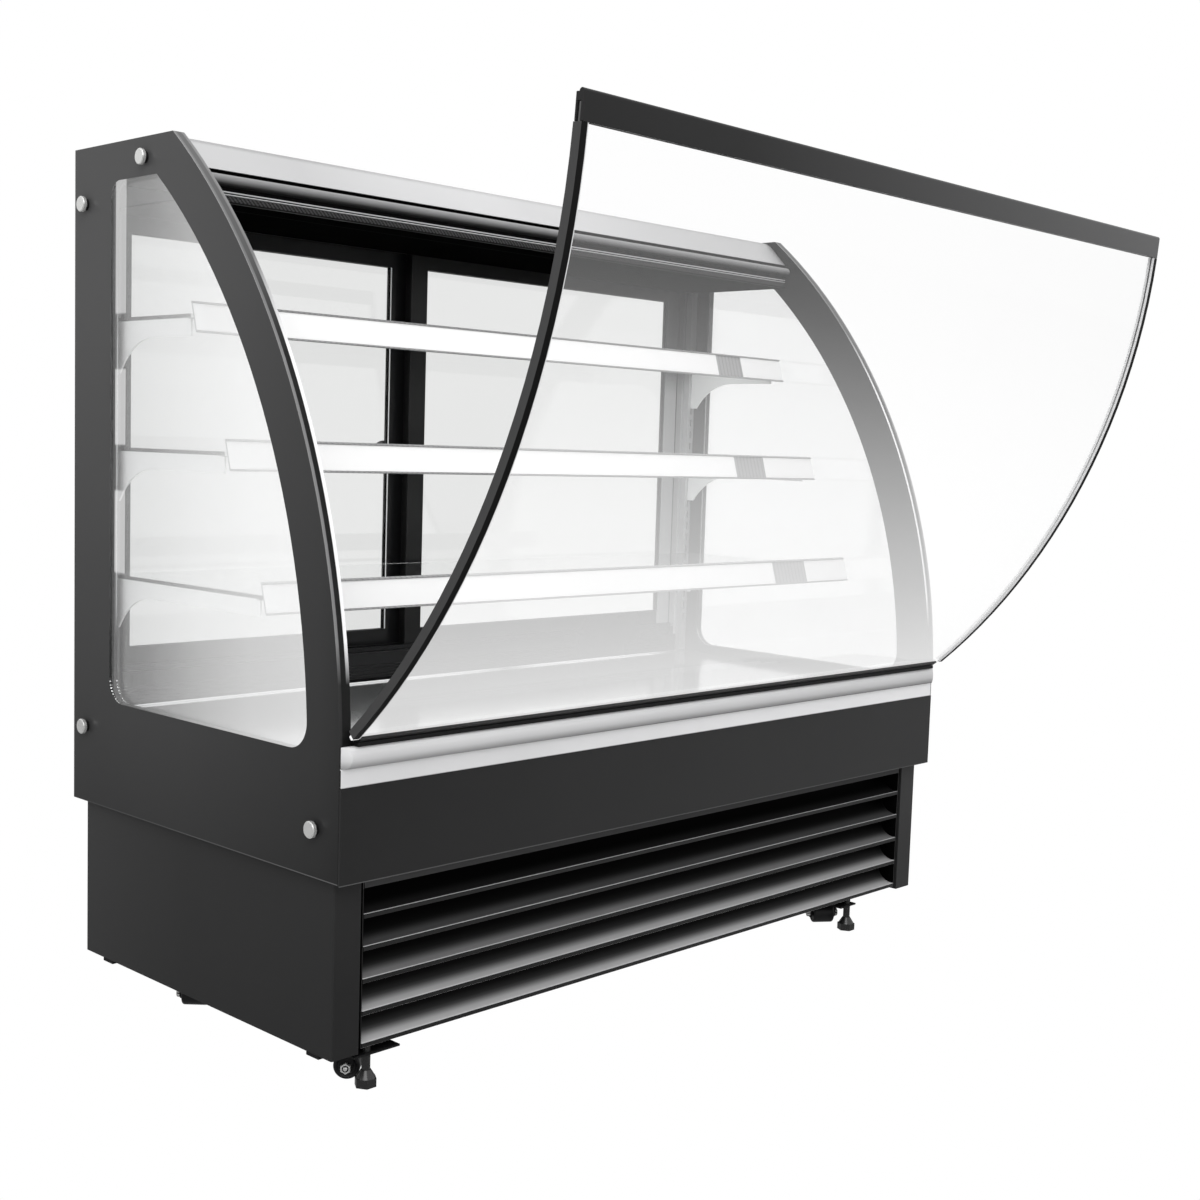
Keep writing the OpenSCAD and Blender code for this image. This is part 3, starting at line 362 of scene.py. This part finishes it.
def slat_painted_light_tone(tree, place):
    """Louvre slats with painted light: light in the trough behind each lip, painted shade where they
    curve up and on the higher rows, a painted highlight on each lip's top, painted shade on the slats'
    ends.
    """
    above = math_node(tree, "SUBTRACT", place["Height"], SLAT_START)
    row = math_node(tree, "DIVIDE", above, SLAT_PITCH)
    # Painted light across each slat: bright in the trough, painted shade where it curves up
    painted_trough_light = curve(tree, place["Back"], (
        (-0.124, 1.0), (-0.120, 0.97), (-0.1112, 0.85), (-0.107, 0.6), (-0.103, 0.33),
        (-0.0995, 0.137), (-0.096, 0.055), (-0.0906, 0.012), (-0.086, 0.0)))
    # Painted shade that darkens each row upward
    level = curve(tree, row, (
        (0.0, 0.51), (0.95, 0.51), (0.99, 0.44), (1.95, 0.44), (1.99, 0.20), (2.95, 0.20),
        (2.99, 0.07), (3.95, 0.07), (3.99, 0.018), (5.0, 0.018)))
    painted_inside_light = math_node(tree, "MULTIPLY_ADD", painted_trough_light, level, 0.0006)
    lip = band(tree, place["Back"], -0.132, -0.1236, 0.0004)
    # Painted highlight along each lip's top face
    top = times(tree, lip, rise(tree, place["Faces Z"], 0.55, 0.65))
    face = times(tree, lip, fall(tree, place["Faces Y"], -0.9, -0.8))
    # The head strip above 0.2985 m is painted lighter than the cabinet paint
    front = choose(tree, rise(tree, place["Height"], 0.298, 0.2985), paint_painted_shade_tone(tree, place), 0.045)
    # Painted shade on the slats' end faces
    painted_dark_ends = rise(tree, place["Faces X"], 0.4, 0.5)
    return choose(tree, painted_dark_ends, choose(tree, top, choose(tree, face, painted_inside_light, front), 0.62), 0.002)


def print_painted_light_tone(tree, place):
    """Dark print with painted light: lighter to the top and the rear, painted shade on the inside of the
    case, and a painted highlight line along its lower edge that fades to the rear.
    """
    # Painted light that grows upward and toward the rear
    upward = curve(tree, place["Height"], (
        (0.32, 0.032), (0.48, 0.043), (0.65, 0.0505), (0.9, 0.0595), (1.15, 0.0675), (1.4, 0.066)))
    painted_rearward_light = curve(tree, place["Back"], (
        (-0.15, 0.55), (-0.1, 0.68), (0.1, 0.86), (0.25, 0.97), (0.4, 1.0), (0.6, 1.0)))
    painted_inside_shade = map_range(tree, place["Side"], PANEL_IN, PANEL_IN + 0.0006, 0.25, 1.0)
    tone = times(tree, times(tree, upward, painted_rearward_light), painted_inside_shade)
    # Painted highlight: a pale line along the lower edge
    painted_edge_highlight = times(tree, band(tree, place["Height"], 0.3195, 0.3214, 0.0002),
                map_range(tree, place["Back"], -0.15, 0.58, 0.9, 0.25))
    return choose(tree, painted_edge_highlight, tone, 0.11)


def edge_painted_highlight_tone(tree, place):
    """Cut edge of a side panel: two glass sheets and a dark spacer; the sheets carry painted highlights,
    pale along the lower curve and in a line low on the right panel.
    """
    sheet = math_node(tree, "SUBTRACT", PANEL_OUT, place["Side"])
    low = curve(tree, sheet, (
        (0.0, 0.20), (0.005, 0.16), (0.0056, 0.01), (0.0138, 0.008), (0.0146, 0.75), (0.02, 0.8)))
    high = curve(tree, sheet, (
        (0.0, 0.26), (0.0012, 0.12), (0.005, 0.09), (0.0056, 0.05), (0.0138, 0.045),
        (0.0146, 0.10), (0.02, 0.16)))
    plain = curve(tree, sheet, ((0.0, 0.03), (0.005, 0.02), (0.0056, 0.006), (0.02, 0.006)))
    # Painted highlight line on the outer sheet, low on the right panel
    painted_pale_line = curve(tree, sheet, ((0.0, 0.55), (0.0016, 0.5), (0.002, 0.008), (0.02, 0.006)))
    straight = choose(tree, rise(tree, place["Across"], -0.1, 0.1), plain, painted_pale_line)
    upper = choose(tree, rise(tree, place["Height"], 1.06, 1.20), low, high)
    return choose(tree, rise(tree, place["Height"], 0.60, 0.66), straight, upper)


def panel_painted_light_tone(tree, place):
    """Side panel's border: dark ceramic print on its faces and glass sheets on its cut edge, both with
    painted light.
    """
    faces = rise(tree, place["Faces X"], 0.4, 0.6)
    return choose(tree, faces, edge_painted_highlight_tone(tree, place), print_painted_light_tone(tree, place))


def bumper_painted_light_tone(tree, place):
    """Rounded bumper with painted light: brighter toward its top, with a painted shade line below that
    fades in to the right.
    """
    tone = curve(tree, place["Height"], (
        (0.484, 0.24), (0.489, 0.36), (0.496, 0.56), (0.505, 0.66), (0.515, 0.70)))
    # Painted shade: a dark line along the bumper's lower edge
    painted_shade_line = times(tree, fall(tree, place["Height"], 0.4852, 0.4856),
                 map_range(tree, place["Across"], -0.5, -0.1, 0.0, 0.85))
    return choose(tree, painted_shade_line, tone, 0.03)


def trim_painted_light_tone(tree, place):
    """Bright strip above the fascia, painted lighter to the right, with a thin painted shade along its
    lower edge.
    """
    tone = curve(tree, place["Across"], ((-0.75, 0.73), (-0.4, 0.75), (0.0, 0.86), (0.75, 0.93)))
    return times(tree, tone, map_range(tree, place["Height"], 0.4575, 0.4588, 0.62, 1.0))


def deck_painted_highlight_tone(tree, place):
    """Steel deck with painted highlights on the folded edges at the rear and where the two pans meet."""
    rear = rise(tree, place["Height"], 0.4804, 0.4808)
    seam = fall(tree, place["Side"], 0.0022, 0.0028)
    return choose(tree, math_node(tree, "MAXIMUM", rear, seam), 0.66, 1.0)


def soffit_painted_highlight_tone(tree, place):
    """Black soffit with one faint painted highlight along a fold."""
    return choose(tree, band(tree, place["Back"], 0.318, 0.321, 0.0005), 0.0022, 0.02)


def slope_painted_shade_tone(tree, place):
    """Canopy's slope: brushed steel with painted shade, lighter in the middle, darker toward its ends and
    along its top edge.
    """
    across = curve(tree, place["Across"], (
        (-0.73, 0.34), (-0.616, 0.335), (-0.521, 0.325), (-0.314, 0.40), (-0.083, 0.45),
        (0.1, 0.46), (0.35, 0.43), (0.66, 0.42), (0.715, 0.38), (0.73, 0.22)))
    upward = curve(tree, place["Height"], ((1.2, 1.0), (1.384, 1.0), (1.388, 0.8), (1.4, 0.8)))
    return times(tree, across, upward)


def round_rail_painted_light_tone(tree, place):
    """Rail under the slope with painted light: pale on top, painted shade below, then two thin painted
    highlights on ribs and a dark lip.
    """
    return curve(tree, place["Height"], (
        (1.290, 0.008), (1.3055, 0.008), (1.3060, 0.50), (1.3074, 0.50), (1.3080, 0.006),
        (1.3096, 0.006), (1.3101, 0.60), (1.3114, 0.60), (1.3120, 0.006), (1.3180, 0.006),
        (1.3215, 0.03), (1.3250, 0.12), (1.3290, 0.19), (1.3345, 0.24), (1.3362, 0.16)))


def lamp_tone(tree, place):
    """Lamp cover: a slanting hatch, as stripes along the sum of X and height."""
    slant = math_node(tree, "ADD", place["Across"], place["Height"])
    return map_range(tree, stripes(tree, slant, HATCH_PITCH), -1.0, 1.0, 0.008, 0.075)


def seal_painted_light_tone(tree, place):
    """Black rubber edge seal with painted light: grey on its outer side, black in front, a painted
    highlight line on the inner lip.
    """
    outer = times(tree, rise(tree, place["Side"], 0.7454, 0.7456), rise(tree, place["Faces X"], 0.7, 0.8))
    inner = fall(tree, place["Side"], 0.7352, 0.7358)
    return choose(tree, inner, choose(tree, outer, 0.003, 0.045), 0.60)


def upright_painted_light_tone(tree, place):
    """Uprights with painted light: painted reflections make them pale outside and pale low at the right,
    with painted shade on the front corner and grey in front.
    """
    outer = rise(tree, place["Side"], 0.7270, 0.7276)
    corner = fall(tree, place["Back"], 0.4995, 0.5000)
    side = curve(tree, place["Height"], ((0.4, 0.30), (0.55, 0.42), (0.7, 0.62), (1.3, 0.66)))
    right = curve(tree, place["Height"], (
        (0.4, 0.30), (0.9, 0.55), (1.08, 0.52), (1.13, 0.13), (1.3, 0.10)))
    front = choose(tree, rise(tree, place["Across"], -0.1, 0.1), 0.13, right)
    return choose(tree, outer, front, choose(tree, corner, side, 0.03))


def jamb_painted_reflection_tone(tree, place):
    """Door jambs and frame: black, but at the right a painted reflection of the pale deck lies on their
    faces toward the case.
    """
    inner = times(tree, rise(tree, place["Across"], 0.6550, 0.6560),
                  fall(tree, place["Back"], 0.5262, 0.5266))
    mirrored = curve(tree, place["Height"], ((0.4, 0.40), (1.06, 0.36), (1.12, 0.04), (1.3, 0.015)))
    return choose(tree, inner, 0.006, mirrored)


def strip_tone(tree, place):
    """Bare stretch of a price strip: grey with upright lines."""
    return map_range(tree, stripes(tree, place["Across"], LINE_PITCH), 0.6, 1.0, 0.34, 0.22)


def handle_painted_light_tone(tree, place):
    """Handle rail on the front glass: black, with painted light that lightens it to the right."""
    return curve(tree, place["Across"], (
        (-0.75, 0.019), (-0.45, 0.024), (0.0, 0.056), (0.4, 0.087), (0.75, 0.112)))


def front_painted_reflection(tree, place):
    """Painted reflection: white glow of the studio over the front glass, which grows toward its lower
    edge.

    A view passes both faces of the pane, so each has 1 - sqrt(1 - amount) of it.
    """
    stops = (
        (0.5, 0.64), (0.606, 0.56), (0.713, 0.47), (0.805, 0.395), (0.887, 0.315), (0.96, 0.24),
        (1.023, 0.175), (1.078, 0.128), (1.127, 0.092), (1.159, 0.075), (1.21, 0.055), (1.3, 0.03))
    return curve(tree, place["Height"], [(height, 1 - math.sqrt(1 - amount)) for height, amount in stops])


def side_painted_reflection(tree, place):
    """Outer face of the left window: a painted reflection, a white glow that grows from its rear edge to
    the front.

    Over the rear upright this painted reflection is broken into pale stretches below each shelf's
    bracket.
    """
    outer = fall(tree, place["Across"], -PANEL_OUT + 0.0004, -PANEL_OUT + 0.0006)
    amount = curve(tree, place["Back"], (
        (-0.15, 0.55), (-0.08, 0.53), (0.07, 0.45), (0.2, 0.31), (0.35, 0.11),
        (0.404, 0.07), (0.406, 0.08), (0.4195, 0.08), (0.4210, 0.0), (0.5, 0.0)))
    rows = 0.0
    for low, high, pale in ((0.712, 0.845, 0.44), (0.918, 1.039, 0.44), (1.126, 1.40, 0.40)):
        stretch = times(tree, band(tree, place["Height"], low, high, 0.002), pale)
        rows = math_node(tree, "ADD", rows, stretch)
    plate = times(tree, band(tree, place["Back"], 0.4204, 0.4526, 0.0006),
                  math_node(tree, "MAXIMUM", rows, 0.07))
    return times(tree, outer, math_node(tree, "ADD", amount, plate))


# Materials of the slots, and those of single nodes

BLACK = (0.006, 0.006, 0.0065)
MATS = {
    # Cabinet paint with painted shade and a painted highlight line
    "body_paint": toned("body_paint", paint_painted_shade_tone, 0.42, Specular_IOR_Level=0.12),
    "chassis_black": coated("chassis_black", BLACK, 0.5, Specular_IOR_Level=0.2),
    "tub_paint": coated("tub_paint", (0.012, 0.012, 0.013), 0.45, Specular_IOR_Level=0.2),
    "stainless": brushed("stainless", (0.70, 0.705, 0.71), 0.2),
    # Bumper with painted light and a painted shade line
    "bumper": toned("bumper", bumper_painted_light_tone, 0.4, depth=0.00001, Metallic=0.25, Specular_IOR_Level=0.2),
    "chrome": coated("chrome", (0.80, 0.80, 0.79), 0.22, drift=0.1, Metallic=0.7),
    "black_plastic": coated("black_plastic", BLACK, 0.36, Specular_IOR_Level=0.3),
    "black_aluminium": coated("black_aluminium", BLACK, 0.3, Specular_IOR_Level=0.3),
    "white_steel": coated("white_steel", (0.92, 0.915, 0.915), 0.35),
    "paper": coated("paper", (0.80, 0.80, 0.80), 0.55, drift=0.03),
    "coil_fins": brushed("coil_fins", (0.60, 0.60, 0.60), 0.35, stretch=(300.0, 300.0, 8.0)),
    "wheel_nylon": coated("wheel_nylon", (0.010, 0.010, 0.011), 0.35, Specular_IOR_Level=0.3),
    "clear_glass": pane("clear_glass", (0.955, 0.957, 0.957), 1.45),
    # Front glass with a painted reflection glow
    "front_glass": pane("front_glass", (1.0, 1.0, 1.0), 1.3, front_painted_reflection),
    "shelf_glass": pane("shelf_glass", (0.96, 0.975, 0.97), 1.5),
    # Print and glass edges with painted light and highlights
    "panel_print": toned("panel_print", panel_painted_light_tone, 0.3, grain=900.0, Specular_IOR_Level=0.1),
}
FOOT_BLACK = coated("foot_black", (0.012, 0.012, 0.012), 0.25, Specular_IOR_Level=0.6)
NODE_MATS = {
    "louvre_grille": toned("slats", slat_painted_light_tone, 0.5, Specular_IOR_Level=0.02),
    "front_glass_handle_rail": toned("handle_rail_painted_light", handle_painted_light_tone, 0.35, Specular_IOR_Level=0.1),
    "side_window_left": pane("left_window_painted_reflection", (0.943, 0.946, 0.946), 1.45, side_painted_reflection),
    "door_left_glass": pane("door_glass_left", (0.795, 0.80, 0.795), 1.45),
    "door_right_glass": pane("door_glass_right", (0.81, 0.815, 0.81), 1.45),
    "top_cover": toned("canopy_steel_painted_shade", slope_painted_shade_tone, 0.45, grain=700.0, Metallic=0.3,
                       Specular_IOR_Level=0.2),
    "canopy_soffit": toned("soffit_black_painted_highlight", soffit_painted_highlight_tone, 0.9, Specular_IOR_Level=0.0),
    "front_trim_strip": toned("strip_steel_painted_light", trim_painted_light_tone, 0.42, grain=700.0, Metallic=0.35,
                              Specular_IOR_Level=0.2),
    "deck_pans": toned("deck_steel_painted_highlights", deck_painted_highlight_tone, 0.14, grain=500.0, depth=0.00001, Metallic=0.88),
    "canopy_round_rail": toned("round_rail_painted_light", round_rail_painted_light_tone, 0.6, Specular_IOR_Level=0.03),
    "canopy_lamp": toned("lamp_hatch", lamp_tone, 0.4, Specular_IOR_Level=0.1),
    "front_glass_side_seals": toned("seal_lips_painted_light", seal_painted_light_tone, 0.45, grain=300.0, depth=0.000002,
                                    Specular_IOR_Level=0.15),
    "door_jambs": toned("jamb_black_painted_reflection", jamb_painted_reflection_tone, 0.3, Specular_IOR_Level=0.3),
    "door_right_frame": toned("right_door_black_painted_reflection", jamb_painted_reflection_tone, 0.3, Specular_IOR_Level=0.3),
    "shelf_uprights": toned("upright_steel_painted_light", upright_painted_light_tone, 0.4, Metallic=0.3),
    "levelling_foot_left": FOOT_BLACK,
    "levelling_foot_right": FOOT_BLACK,
    "price_strips": toned("price_strip", strip_tone, 0.4, Metallic=0.2),
}


def material_of(node_name):
    """The node's own material, or else its slot's."""
    return NODE_MATS.get(node_name) or MATS[SLOT_OF[node_name]]


def finish_nodes():
    """Give each CAD node its material."""
    for name, obj in NODES.items():
        if not obj.material_slots:
            obj.data.materials.append(material_of(name))
        for slot in obj.material_slots:
            slot.material = material_of(name)


finish_nodes()


# Pieces


def finished(name, node_name, bm, added_slot=None):
    """Object from a bmesh, smooth up to the sharp angle, that rides the node's own body.

    It stands in for the node, or with a slot of its own is added to it.
    """
    bmesh.ops.recalc_face_normals(bm, faces=bm.faces)
    mesh = bpy.data.meshes.new(name)
    bm.to_mesh(mesh)
    bm.free()
    mesh.shade_smooth()
    mesh.set_sharp_from_angle(angle=math.radians(SHARP_ANGLE))
    o = bpy.data.objects.new(name, mesh)
    SCENE.collection.objects.link(o)
    slot = added_slot or SLOT_OF[node_name]
    mesh.materials.append(MATS[slot] if added_slot else material_of(node_name))
    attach(o, BODY_OF[node_name])
    if not added_slot:
        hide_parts(node_name)
    return o


def softened(node_name, width, move=None):
    """A node's solid with its edges rounded by width; move(points) may first change its points."""
    bm = bmesh.new()
    bm.from_mesh(NODES[node_name].data)
    bmesh.ops.remove_doubles(bm, verts=bm.verts, dist=1e-6)
    if move:
        points = move(np.array([vert.co for vert in bm.verts]))
        for vert, point in zip(bm.verts, points):
            vert.co = point
    bmesh.ops.dissolve_limit(bm, angle_limit=math.radians(FLAT_ANGLE), verts=bm.verts, edges=bm.edges)
    edge = finished(node_name + "_edged", node_name, bm).modifiers.new("edge", "BEVEL")
    edge.width = width
    edge.segments = 2
    edge.limit_method = "ANGLE"
    edge.angle_limit = math.radians(BEVEL_ANGLE)
    edge.harden_normals = True


def raised_slats(points):
    """Grille with its slats 5.5 mm higher and its head strip's lower edge 3.5 mm lower."""
    head_edge, lowered_edge, slats_top, lift = 0.303, 0.2995, 0.300, 0.0055
    height = points[:, 2]
    on_edge = abs(height - head_edge) < 0.0005
    below = (height < slats_top) & ~on_edge
    height[on_edge] = lowered_edge
    height[below] += lift
    return points


def reaching(far, now):
    """Function that moves a front piece's left end out from now to far, by the side panel's face."""
    def move(points):
        across = points[:, 0]
        across[across < END_LENGTH - now] -= far - now
        return points
    return move


EDGED = (
    ("side_border_left", 0.0006), ("side_border_right", 0.0006),
    ("base_side_left", 0.0006), ("base_side_right", 0.0006),
    ("top_cover", 0.0006), ("front_glass_handle_rail", 0.0015), ("side_fixing_caps", 0.0012),
    ("door_left_frame", 0.0012), ("door_right_frame", 0.0012), ("control_panel", 0.0012),
    ("price_strips", 0.0003), ("glass_hinge_base", 0.0005),
    ("levelling_foot_left", 0.0010), ("levelling_foot_right", 0.0010),
    ("brake_pedal_left", 0.0008), ("brake_pedal_right", 0.0008),
    ("base_rear_panel", 0.0005), ("lamp_switch", 0.0006),
    ("door_jambs", 0.0008), ("door_track_rails", 0.0005),
)
for edged_node, edge_width in EDGED:
    softened(edged_node, edge_width)
softened("louvre_grille", 0.0005, raised_slats)
softened("front_fascia", 0.0006, reaching(0.7495, 0.745))
softened("front_trim_strip", 0.0004, reaching(0.7492, 0.741))
softened("front_bumper", 0.0006, reaching(0.7495, 0.742))


def tubes(shapes):
    """Bmesh of closed tubes. Each shape is an array of rings of points.

    Four-sided faces join each ring to the next one, and one face closes each end.
    """
    faces = []
    start = 0
    for rings in shapes:
        count, around = rings.shape[:2]
        index = start + np.arange(count * around).reshape(count, around)
        ahead = np.roll(index, -1, axis=1)
        sides = np.stack((index[:-1], ahead[:-1], ahead[1:], index[1:]), axis=-1).reshape(-1, 4)
        faces += sides.tolist() + [index[0, ::-1].tolist(), index[-1].tolist()]
        start += count * around
    mesh = bpy.data.meshes.new("tubes")
    mesh.from_pydata(np.concatenate([rings.reshape(-1, 3) for rings in shapes]), [], faces)
    bm = bmesh.new()
    bm.from_mesh(mesh)
    bpy.data.meshes.remove(mesh)
    return bm


def angles(count):
    """Even angles round a full turn."""
    return np.arange(count) * 2 * math.pi / count


# Castors in mm from the middle and the panels' front edge: name, stem's place, heading in degrees,
# and how high the wheel stands
CASTORS = (
    ("front_left", (-665, 90), -46, 1),
    ("front_right", (534, 90), 54, 1),
    ("rear_left", (-665, 488), 44, 0),
    ("rear_right", (534, 488), 20, 0),
)
TRAIL = 8  # mm from a castor's stem to its axle
AXLE_HEIGHT = 20
FORK_OUT = 25.5  # mm from the wheel's middle to the outer face of a fork's cheek
# Rings of a nut and bolt end in mm: radius, distance out from that face, and one for a hexagon
NUT_RINGS = (
    (8.5, 0.1, 1), (8.5, 5.0, 1), (7.6, 5.8, 1), (5.2, 5.8, 0), (5.0, 4.9, 0),
    (3.2, 4.9, 0), (3.2, 6.2, 0), (2.4, 6.9, 0), (1.2, 7.2, 0),
)


def nut(side):
    """Hex nut with a recessed domed bolt end on one end of an axle, in mm from the floor below the stem.

    Each ring is R(a) wide. On the hexagon R(a) = R cos(30) / cos(((a + 30) mod 60) - 30) in
    degrees, elsewhere R(a) = R. The rings follow each other out along the axle, which is Y.
    """
    radius, out, is_hexagon = np.array(NUT_RINGS).T[:, :, None]
    angle = angles(24)
    corner = math.pi / 6
    hexagon = math.cos(corner) / np.cos((angle + corner) % (2 * corner) - corner)
    reach = radius * np.where(is_hexagon > 0, hexagon, 1.0)
    along = side * (FORK_OUT + out) + 0 * angle
    return np.stack((TRAIL + reach * np.cos(angle), along, AXLE_HEIGHT + reach * np.sin(angle)), axis=-1)


def axle_nuts():
    """A nut over each end of each castor's axle, turned to the castor's heading."""
    for end, stem, heading, lift in CASTORS:
        turn = np.array(Matrix.Rotation(math.radians(heading), 3, "Z"))
        at = np.array((*stem, lift))
        shapes = [(nut(side) @ turn.T + at) / 1000 + (0, SHIFT_Y, 0) for side in (-1, 1)]
        finished("axle_nuts_" + end, "castor_fork_" + end, tubes(shapes), "chrome")


def door_gasket():
    """Thin pale bulb along the left door's meeting stile: a circle carried straight up its glass."""
    middle, back, bottom, top, radius = -0.109, 0.5540, 0.5735, 1.2690, 0.0011
    angle = angles(12)
    circle = (middle + radius * np.cos(angle), back + radius * np.sin(angle))
    rings = np.stack([np.stack((*circle, height + 0 * angle), axis=-1) for height in (bottom, top)])
    finished("door_gasket", "door_left_frame", tubes([rings]), "white_steel")


axle_nuts()
door_gasket()


# Studio


def surroundings():
    """White studio: plain in view, soft as light, and a sky that darkens downward in gloss."""
    world = bpy.data.worlds.new("studio")
    SCENE.world = world
    world.use_nodes = True
    tree = world.node_tree
    plain = tree.nodes["Background"]
    plain.inputs["Color"].default_value = WHITE
    plain.inputs["Strength"].default_value = 1.0
    direction = node(tree, "ShaderNodeTexCoord").outputs["Generated"]
    upward = node(tree, "ShaderNodeSeparateXYZ", {0: direction}).outputs["Z"]
    sky = curve(tree, upward, ((-1.0, 0.25), (-0.25, 0.25), (0.0, 0.45), (0.35, 0.95), (1.0, 1.0)))
    glossy = node(tree, "ShaderNodeLightPath").outputs["Is Glossy Ray"]
    soft = node(tree, "ShaderNodeBackground",
                {"Color": WHITE, "Strength": choose(tree, glossy, 0.95, sky)})
    seen = either(tree, "Is Camera Ray", "Is Transmission Ray")
    shader = mixed(tree, seen, soft.outputs[0], plain.outputs[0])
    tree.links.new(shader, tree.nodes["World Output"].inputs["Surface"])


def floor_white():
    """Floor: plain white in view, a dimmer glow in gloss, and matt white to all other rays."""
    mat, tree, principled = material("floor_white", Roughness=0.8)
    coat = placed(tree, COAT, {"Grain scale": 300.0})
    shade(tree, principled, (0.82, 0.82, 0.82), around_one(tree, coat["Drift"], 0.02))
    seen = either(tree, "Is Camera Ray", "Is Transmission Ray")
    glow = node(tree, "ShaderNodeEmission", {"Color": WHITE, "Strength": choose(tree, seen, 0.3, 1.0)})
    glossy = node(tree, "ShaderNodeLightPath").outputs["Is Glossy Ray"]
    glowing = math_node(tree, "MAXIMUM", seen, glossy)
    shader = mixed(tree, glowing, principled.outputs[0], glow.outputs[0])
    tree.links.new(shader, tree.nodes["Material Output"].inputs["Surface"])
    return mat


def ground():
    """Square floor, half a millimetre low so that nothing flickers where the castors stand on it."""
    reach = 12.0
    corners = [(-reach, -reach, 0), (reach, -reach, 0), (reach, reach, 0), (-reach, reach, 0)]
    mesh = bpy.data.meshes.new("floor")
    mesh.from_pydata(corners, [], [(0, 1, 2, 3)])
    mesh.materials.append(floor_white())
    floor = bpy.data.objects.new("floor", mesh)
    SCENE.collection.objects.link(floor)
    floor.location.z = -0.0005


def area_light(name, at, to, size, power):
    """Rectangular light at one point that shines toward another."""
    light = bpy.data.lights.new(name, "AREA")
    light.shape = "RECTANGLE"
    light.size, light.size_y = size
    light.energy = power
    lamp = bpy.data.objects.new(name, light)
    SCENE.collection.objects.link(lamp)
    at, to = Vector(at), Vector(to)
    turn = (to - at).to_track_quat("-Z", "Y").to_matrix().to_4x4()
    lamp.matrix_world = Matrix.Translation(at) @ turn


def camera():
    """Camera of the photograph, solved together with the case's sizes.

    The view turns by yaw from X toward Y, then up by pitch, then rolls. Angles are in radians, and
    the focal length is in pixels of the photograph.
    """
    yaw, pitch, roll = 0.761316, -0.092311, 0.032020
    eye = Vector((-2.11119, -1.78377 + SHIFT_Y, 0.93569))
    focal, photo_width, sensor_width = 1628.84, 1200.0, 36.0
    level = Vector((math.cos(yaw), math.sin(yaw), 0))
    right = Vector((math.sin(yaw), -math.cos(yaw), 0))
    up = Vector((0, 0, 1))
    ahead = level * math.cos(pitch) + up * math.sin(pitch)
    upright = -level * math.sin(pitch) + up * math.cos(pitch)
    rolled_right = right * math.cos(roll) + upright * math.sin(roll)
    rolled_up = -right * math.sin(roll) + upright * math.cos(roll)
    turn = Matrix((rolled_right, rolled_up, -ahead)).transposed().to_4x4()
    turn.translation = eye
    lens = bpy.data.cameras.new("camera")
    lens.sensor_width = sensor_width
    lens.lens = sensor_width * focal / photo_width
    viewer = bpy.data.objects.new("camera", lens)
    SCENE.collection.objects.link(viewer)
    viewer.matrix_world = turn
    SCENE.camera = viewer


surroundings()
ground()
area_light("key", at=(-2.5, -2.2, 3.2), to=(0, 0, 0.7), size=(2.5, 2.5), power=60.0)
area_light("top", at=(0.2, 0.0, 3.6), to=(0, 0.1, 0.8), size=(3.0, 2.0), power=40.0)
camera()
SCENE.view_settings.view_transform = "Standard"
SCENE.view_settings.look = "None"
